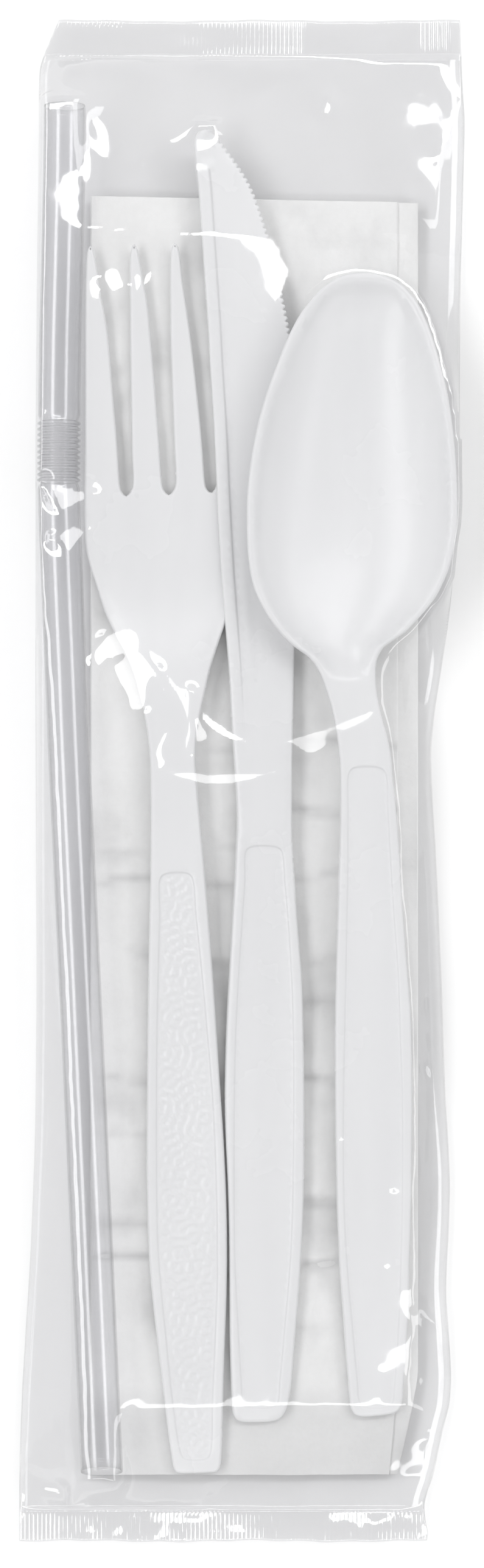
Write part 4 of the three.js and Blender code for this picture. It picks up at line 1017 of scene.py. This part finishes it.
def film_mesh():
    verts, faces = [], []

    def add(rows):
        k = len(verts)
        verts.extend(rows)
        return k

    # the front and back sheets share their side edges
    back_t = np.array([0, 0.004, 0.03, 0.09, 0.18, 0.30, 0.42, 0.52, 0.61, 0.625, 0.66, 0.71, 0.72, 0.80, 0.88, 0.95, 0.99, 1.0])
    f_rows, b_rows = [], []
    for j in range(NY):
        f_rows.append(add(np.column_stack([GX[j], GY[j], front[j]]).tolist()))
    for j in range(NY):
        bx = gl[j] + (gr[j] - gl[j]) * back_t[1:-1]
        bz = 0.30 + 0.16 * fbm(bx * 0.12 + 31, gy[j] * 0.05 + np.zeros_like(bx) + 3, 3)
        lap = (back_t[1:-1] > 0.60) & (back_t[1:-1] < 0.715)
        bz = np.where(lap, bz + 0.22, bz)
        edge = np.minimum(back_t[1:-1], 1 - back_t[1:-1])
        bz = np.where(edge < 0.006, 0.75, bz)
        b_rows.append(add(np.column_stack([bx, np.full_like(bx, gy[j]), np.clip(bz, 0.08, 0.9)]).tolist()))
    nb = len(back_t)

    def back(j, i):
        if i == 0:
            return f_rows[j]
        if i == nb - 1:
            return f_rows[j] + NX - 1
        return b_rows[j] + i - 1

    for j in range(NY - 1):
        for i in range(NX - 1):
            a, c = f_rows[j] + i, f_rows[j + 1] + i
            faces.append((a, a + 1, c + 1, c))
        for i in range(nb - 1):
            faces.append((back(j, i), back(j + 1, i), back(j + 1, i + 1), back(j, i + 1)))

    # the crimped ends: ribs along the pack, three columns to each of the sheet's
    for end in (1, -1):
        y0, y1 = (SEAL_TOP, END_TOP) if end > 0 else (SEAL_BOT, END_BOT)
        j0 = NY - 1 if end > 0 else 0
        n = (NX - 1) * 3 + 1
        t = np.linspace(0, 1, n)
        ys = y0 + (y1 - y0) * np.array([0.06, 0.14, 0.25, 0.4, 0.55, 0.7, 0.85, 0.93, 1.0])
        prev_f = prev_b = None
        for q, y in enumerate(ys):
            xl, xr = float(film_l(y)), float(film_r(y))
            x = xl + (xr - xl) * t
            yy = y + (0.25 * np.sin(x * 0.24 + 1.0) + 0.12 * np.sin(x * 0.9)) * (abs(y - y0) / abs(y1 - y0)) * (
                0.35 if end > 0 else 0.6)
            rib = np.sin(2 * np.pi * x / 0.62)
            if end > 0:
                keep = (ramp(x, -27, -25) * (1 - ramp(x, -18, -16)) + ramp(x, -8, -5) * (1 - ramp(x, 8.5, 10))
                        + 0.5 * ramp(x, 25, 26) * (1 - ramp(x, 30, 31)) + 0.25)
            else:
                keep = 0.35 + 0.5 * noise(x * 0.2 + 40, np.full_like(x, 3.0))
            rib = rib * (0.05 * keep + 0.012) * ramp(abs(y - y0), 0.1, 0.9)
            wave = 0.08 * np.sin(x * 0.23 + 0.5) + 0.10 * fbm(x * 0.14 + 60, np.full_like(x, y * 0.12), 3)
            if end < 0:
                wave = 2.6 * wave + 0.34 * fbm(x * 0.45, yy * 0.5, 3)
            zc = 1.2 + wave * 0.9 * ramp(abs(y - y0), 0.0, 4.5 if end > 0 else 2.4)
            edge = ramp(np.minimum(t, 1 - t), 0, 0.01)
            zf = zc + rib + 0.05 * edge
            zb = zc + rib - 0.05 * edge
            kf = add(np.column_stack([x, yy, zf]).tolist())
            kb = add(np.column_stack([x, yy, zb]).tolist()[1:-1])
            row_f = [kf + i for i in range(n)]
            row_b = [kf] + [kb + i for i in range(n - 2)] + [kf + n - 1]
            if prev_f is None:
                for i in range(NX - 1):
                    a = f_rows[j0] + i
                    face = (a, a + 1, row_f[3 * i + 3], row_f[3 * i + 2], row_f[3 * i + 1], row_f[3 * i])
                    faces.append(face if end > 0 else face[::-1])
                # the back's few columns fan out to the ribs
                marks = [int(round(s * (n - 1))) for s in back_t]
                marks[0], marks[-1] = 0, n - 1
                for i in range(nb - 1):
                    a, b = back(j0, i), back(j0, i + 1)
                    run = list(range(marks[i], marks[i + 1] + 1))
                    face = [b, a] + [row_b[k] for k in run]
                    if len(face) >= 3:
                        # triangles from the middle of the run
                        mid = len(run) // 2
                        tri = []
                        for k in range(mid):
                            tri.append((a, row_b[run[k]], row_b[run[k + 1]]))
                        tri.append((a, row_b[run[mid]], b))
                        for k in range(mid, len(run) - 1):
                            tri.append((b, row_b[run[k]], row_b[run[k + 1]]))
                        faces.extend(tri if end > 0 else [f[::-1] for f in tri])
            else:
                for i in range(n - 1):
                    a, b, c, d = prev_f[i], prev_f[i + 1], row_f[i + 1], row_f[i]
                    faces.append((a, b, c, d) if end > 0 else (d, c, b, a))
                    a, b, c, d = prev_b[i], prev_b[i + 1], row_b[i + 1], row_b[i]
                    faces.append((d, c, b, a) if end > 0 else (a, b, c, d))
            prev_f, prev_b = row_f, row_b
        for i in range(n - 1):
            quad = (prev_f[i], prev_f[i + 1], prev_b[i + 1], prev_b[i])
            quad = quad if end > 0 else quad[::-1]
            quad = tuple(dict.fromkeys(quad))
            if len(quad) > 2:
                faces.append(quad)
    return make("film_wrapper_sheet", verts, faces)


film = film_mesh()


# ------------------------------------------------------------------ materials
def material(name):
    m = bpy.data.materials.new(name)
    m.use_nodes = True
    nt = m.node_tree
    nt.nodes.clear()
    return m, nt, nt.nodes.new("ShaderNodeOutputMaterial")


def node(nt, kind, **inputs):
    n = nt.nodes.new(kind)
    for k, v in inputs.items():
        if k.startswith("_"):
            setattr(n, k[1:], v)
        else:
            n.inputs[k.replace("_", " ")].default_value = v
    return n


def moulded_plastic():
    m, nt, out = material("white_moulded_polystyrene")
    L = nt.links.new
    tc = node(nt, "ShaderNodeTexCoord")
    b = node(nt, "ShaderNodeBsdfPrincipled", Roughness=0.3, IOR=1.5)
    b.inputs["Subsurface Weight"].default_value = 0.0
    # flow marks run along the mouldings
    mp = node(nt, "ShaderNodeMapping")
    mp.inputs["Scale"].default_value = (1.0, 0.12, 1.0)
    L(tc.outputs["Object"], mp.inputs["Vector"])
    flow = node(nt, "ShaderNodeTexNoise", Scale=260.0, Detail=3.0, Roughness=0.55)
    L(mp.outputs["Vector"], flow.inputs["Vector"])
    col = node(nt, "ShaderNodeValToRGB")
    col.color_ramp.elements[0].position, col.color_ramp.elements[1].position = 0.3, 0.7
    col.color_ramp.elements[0].color = (0.835, 0.837, 0.845, 1)
    col.color_ramp.elements[1].color = (0.862, 0.864, 0.870, 1)
    L(flow.outputs["Fac"], col.inputs["Fac"])
    L(col.outputs["Color"], b.inputs["Base Color"])
    rough = node(nt, "ShaderNodeMapRange")
    rough.inputs["To Min"].default_value, rough.inputs["To Max"].default_value = 0.20, 0.32
    broad = node(nt, "ShaderNodeTexNoise", Scale=70.0, Detail=4.0)
    L(tc.outputs["Object"], broad.inputs["Vector"])
    L(broad.outputs["Fac"], rough.inputs["Value"])
    L(rough.outputs["Result"], b.inputs["Roughness"])
    peel = node(nt, "ShaderNodeTexNoise", Scale=900.0, Detail=2.0)
    L(tc.outputs["Object"], peel.inputs["Vector"])
    bump = node(nt, "ShaderNodeBump", Strength=0.25, Distance=0.00002)
    L(peel.outputs["Fac"], bump.inputs["Height"])
    L(bump.outputs["Normal"], b.inputs["Normal"])
    L(b.outputs["BSDF"], out.inputs["Surface"])
    return m


def tissue():
    m, nt, out = material("white_tissue_paper")
    L = nt.links.new
    tc = node(nt, "ShaderNodeTexCoord")
    b = node(nt, "ShaderNodeBsdfPrincipled", Roughness=0.95)
    b.inputs["Specular IOR Level"].default_value = 0.15
    fibre = node(nt, "ShaderNodeTexNoise", Scale=1500.0, Detail=5.0, Roughness=0.7)
    L(tc.outputs["Object"], fibre.inputs["Vector"])
    cloud = node(nt, "ShaderNodeTexNoise", Scale=60.0, Detail=5.0, Roughness=0.6)
    L(tc.outputs["Object"], cloud.inputs["Vector"])
    mix = node(nt, "ShaderNodeMath", _operation="MULTIPLY_ADD")
    mix.inputs[1].default_value = 0.35
    L(fibre.outputs["Fac"], mix.inputs[0])
    L(cloud.outputs["Fac"], mix.inputs[2])
    col = node(nt, "ShaderNodeValToRGB")
    col.color_ramp.elements[0].position, col.color_ramp.elements[1].position = 0.35, 1.0
    col.color_ramp.elements[0].color = (0.82, 0.82, 0.815, 1)
    col.color_ramp.elements[1].color = (0.95, 0.95, 0.945, 1)
    L(mix.outputs["Value"], col.inputs["Fac"])
    # painted shade: the colour is multiplied by a grey where the attribute below is set, in the creases and at the
    # lower end
    fold = node(nt, "ShaderNodeAttribute", _attribute_name="fold")
    painted_shade_mix = node(nt, "ShaderNodeMixRGB", _blend_type="MULTIPLY")
    # the grey of the painted shade
    painted_shade_mix.inputs["Color2"].default_value = (0.74, 0.74, 0.745, 1)
    L(fold.outputs["Fac"], painted_shade_mix.inputs["Fac"])
    L(col.outputs["Color"], painted_shade_mix.inputs["Color1"])
    L(painted_shade_mix.outputs["Color"], b.inputs["Base Color"])
    emboss = node(nt, "ShaderNodeTexVoronoi", Scale=900.0)
    L(tc.outputs["Object"], emboss.inputs["Vector"])
    crepe = node(nt, "ShaderNodeMath", _operation="MULTIPLY_ADD")
    crepe.inputs[1].default_value = 0.6
    L(emboss.outputs["Distance"], crepe.inputs[0])
    L(fibre.outputs["Fac"], crepe.inputs[2])
    bump = node(nt, "ShaderNodeBump", Strength=0.45, Distance=0.00012)
    L(crepe.outputs["Value"], bump.inputs["Height"])
    L(bump.outputs["Normal"], b.inputs["Normal"])
    L(b.outputs["BSDF"], out.inputs["Surface"])
    return m


def clear(name, base, tints, rough, gain=0.9):
    """A thin clear sheet: a mirror that grows towards the edge over a see-through body,
    with shadows let through."""
    m, nt, out = material(name)
    L = nt.links.new
    lw = node(nt, "ShaderNodeLayerWeight", Blend=0.5)
    p = node(nt, "ShaderNodeMath", _operation="POWER")
    p.inputs[1].default_value = 4.5
    L(lw.outputs["Facing"], p.inputs[0])
    fac = node(nt, "ShaderNodeMath", _operation="MULTIPLY_ADD")
    fac.inputs[1].default_value, fac.inputs[2].default_value = gain, base
    L(p.outputs["Value"], fac.inputs[0])
    lp = node(nt, "ShaderNodeLightPath")
    inv = node(nt, "ShaderNodeMath", _operation="MULTIPLY_ADD")
    inv.inputs[1].default_value, inv.inputs[2].default_value = -0.9, 1.0
    L(lp.outputs["Is Shadow Ray"], inv.inputs[0])
    both = node(nt, "ShaderNodeMath", _operation="MULTIPLY", _use_clamp=True)
    L(fac.outputs["Value"], both.inputs[0])
    L(inv.outputs["Value"], both.inputs[1])
    tint = node(nt, "ShaderNodeValToRGB")
    cr = tint.color_ramp
    for k, (pos, c) in enumerate(tints):
        e = cr.elements[k] if k < 2 else cr.elements.new(pos)
        e.position, e.color = pos, (c, c, c * 1.004 if c < 0.99 else c, 1)
    L(lw.outputs["Facing"], tint.inputs["Fac"])
    see = node(nt, "ShaderNodeBsdfTransparent")
    L(tint.outputs["Color"], see.inputs["Color"])
    gloss = node(nt, "ShaderNodeBsdfAnisotropic" if False else "ShaderNodeBsdfGlossy", Roughness=rough)
    gloss.inputs["Color"].default_value = (1, 1, 1, 1)
    mix = node(nt, "ShaderNodeMixShader")
    L(both.outputs["Value"], mix.inputs[0])
    L(see.outputs["BSDF"], mix.inputs[1])
    L(gloss.outputs["BSDF"], mix.inputs[2])
    L(mix.outputs["Shader"], out.inputs["Surface"])
    return m, nt, gloss, see


def film_material():
    m, nt, gloss, see = clear("clear_polypropylene_film", 0.095,
                              [(0.0, 0.945), (1.0, 0.78), (0.5, 0.92)], 0.06)
    L = nt.links.new
    tc = node(nt, "ShaderNodeTexCoord")
    mp = node(nt, "ShaderNodeMapping")
    mp.inputs["Scale"].default_value = (1.0, 0.35, 1.0)
    L(tc.outputs["Object"], mp.inputs["Vector"])
    w = node(nt, "ShaderNodeTexNoise", Scale=120.0, Detail=4.0, Roughness=0.5)
    L(mp.outputs["Vector"], w.inputs["Vector"])
    bump = node(nt, "ShaderNodeBump", Strength=0.35, Distance=0.00025)
    L(w.outputs["Fac"], bump.inputs["Height"])
    L(bump.outputs["Normal"], gloss.inputs["Normal"])
    return m


def straw_material():
    m, nt, gloss, see = clear("clear_polypropylene_tube", 0.05,
                              [(0.0, 0.978), (1.0, 0.74), (0.16, 0.972), (0.5, 0.93)], 0.17)
    L = nt.links.new
    tc = node(nt, "ShaderNodeTexCoord")
    mp = node(nt, "ShaderNodeMapping")
    mp.inputs["Scale"].default_value = (1.0, 0.02, 1.0)
    L(tc.outputs["Object"], mp.inputs["Vector"])
    w = node(nt, "ShaderNodeTexNoise", Scale=900.0, Detail=2.0)
    L(mp.outputs["Vector"], w.inputs["Vector"])
    bump = node(nt, "ShaderNodeBump", Strength=0.06, Distance=0.00004)
    L(w.outputs["Fac"], bump.inputs["Height"])
    L(bump.outputs["Normal"], gloss.inputs["Normal"])
    return m


plastic = moulded_plastic()
for o in (fork, knife, spoon):
    o.data.materials.append(plastic)
napkin.data.materials.append(tissue())
straw.data.materials.append(straw_material())
film.data.materials.append(film_material())

# ------------------------------------------------------------------ floor and light
me = bpy.data.meshes.new("floor")
me.from_pydata([(-4, -4, 0), (4, -4, 0), (4, 4, 0), (-4, 4, 0)], [], [(0, 1, 2, 3)])
floor = bpy.data.objects.new("floor", me)
scene.collection.objects.link(floor)
fm, nt, out = material("white_table")
d = node(nt, "ShaderNodeBsdfDiffuse")
d.inputs["Color"].default_value = (0.92, 0.92, 0.92, 1)
nt.links.new(d.outputs["BSDF"], out.inputs["Surface"])
floor.data.materials.append(fm)

PANELS = [  # u0, u1, v0, v1 at unit height, radiance
    ("key_left", -0.96, -0.49, -0.60, 0.90, 3.7),
    ("right", 0.75, 1.17, -0.60, 0.90, 2.2),
    ("north", -0.10, 0.75, 0.39, 0.54, 8.4),
    ("south", -0.25, 0.55, -0.54, -0.42, 3.4),
]
HIGH = 1.6
for name, u0, u1, v0, v1, rad in PANELS:
    ld = bpy.data.lights.new(name, "AREA")
    ld.shape = "RECTANGLE"
    ld.size, ld.size_y = (u1 - u0) * HIGH, (v1 - v0) * HIGH
    ld.energy = rad * math.pi * ld.size * ld.size_y
    lo = bpy.data.objects.new(name, ld)
    lo.location = ((u0 + u1) / 2 * HIGH, (v0 + v1) / 2 * HIGH, HIGH)
    scene.collection.objects.link(lo)

world = bpy.data.worlds.new("studio")
scene.world = world
world.use_nodes = True
wn = world.node_tree
wn.nodes.clear()
wo = wn.nodes.new("ShaderNodeOutputWorld")
bg = wn.nodes.new("ShaderNodeBackground")
tc = wn.nodes.new("ShaderNodeTexCoord")
sep = wn.nodes.new("ShaderNodeSeparateXYZ")
rampn = wn.nodes.new("ShaderNodeValToRGB")
wn.links.new(tc.outputs["Generated"], sep.inputs["Vector"])
wn.links.new(sep.outputs["Z"], rampn.inputs["Fac"])
cr = rampn.color_ramp
cr.elements[0].position, cr.elements[0].color = 0.0, (0.83, 0.83, 0.83, 1)
cr.elements[1].position, cr.elements[1].color = 1.0, (0.20, 0.20, 0.20, 1)
e = cr.elements.new(0.6)
e.color = (0.67, 0.67, 0.67, 1)
e = cr.elements.new(0.88)
e.color = (0.32, 0.32, 0.32, 1)
wn.links.new(rampn.outputs["Color"], bg.inputs["Color"])
bg.inputs["Strength"].default_value = 1.0
wn.links.new(bg.outputs["Background"], wo.inputs["Surface"])

# ------------------------------------------------------------------ attach the pieces and hide the CAD parts
for piece, cad, slot in ((fork, "fork", "cutlery"), (knife, "knife", "cutlery"), (spoon, "spoon", "cutlery"),
                         (straw, "straw", "straw"), (napkin, "napkin", "napkin"), (film, "film_wrapper", "film")):
    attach(piece, "root")
    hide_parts(cad)
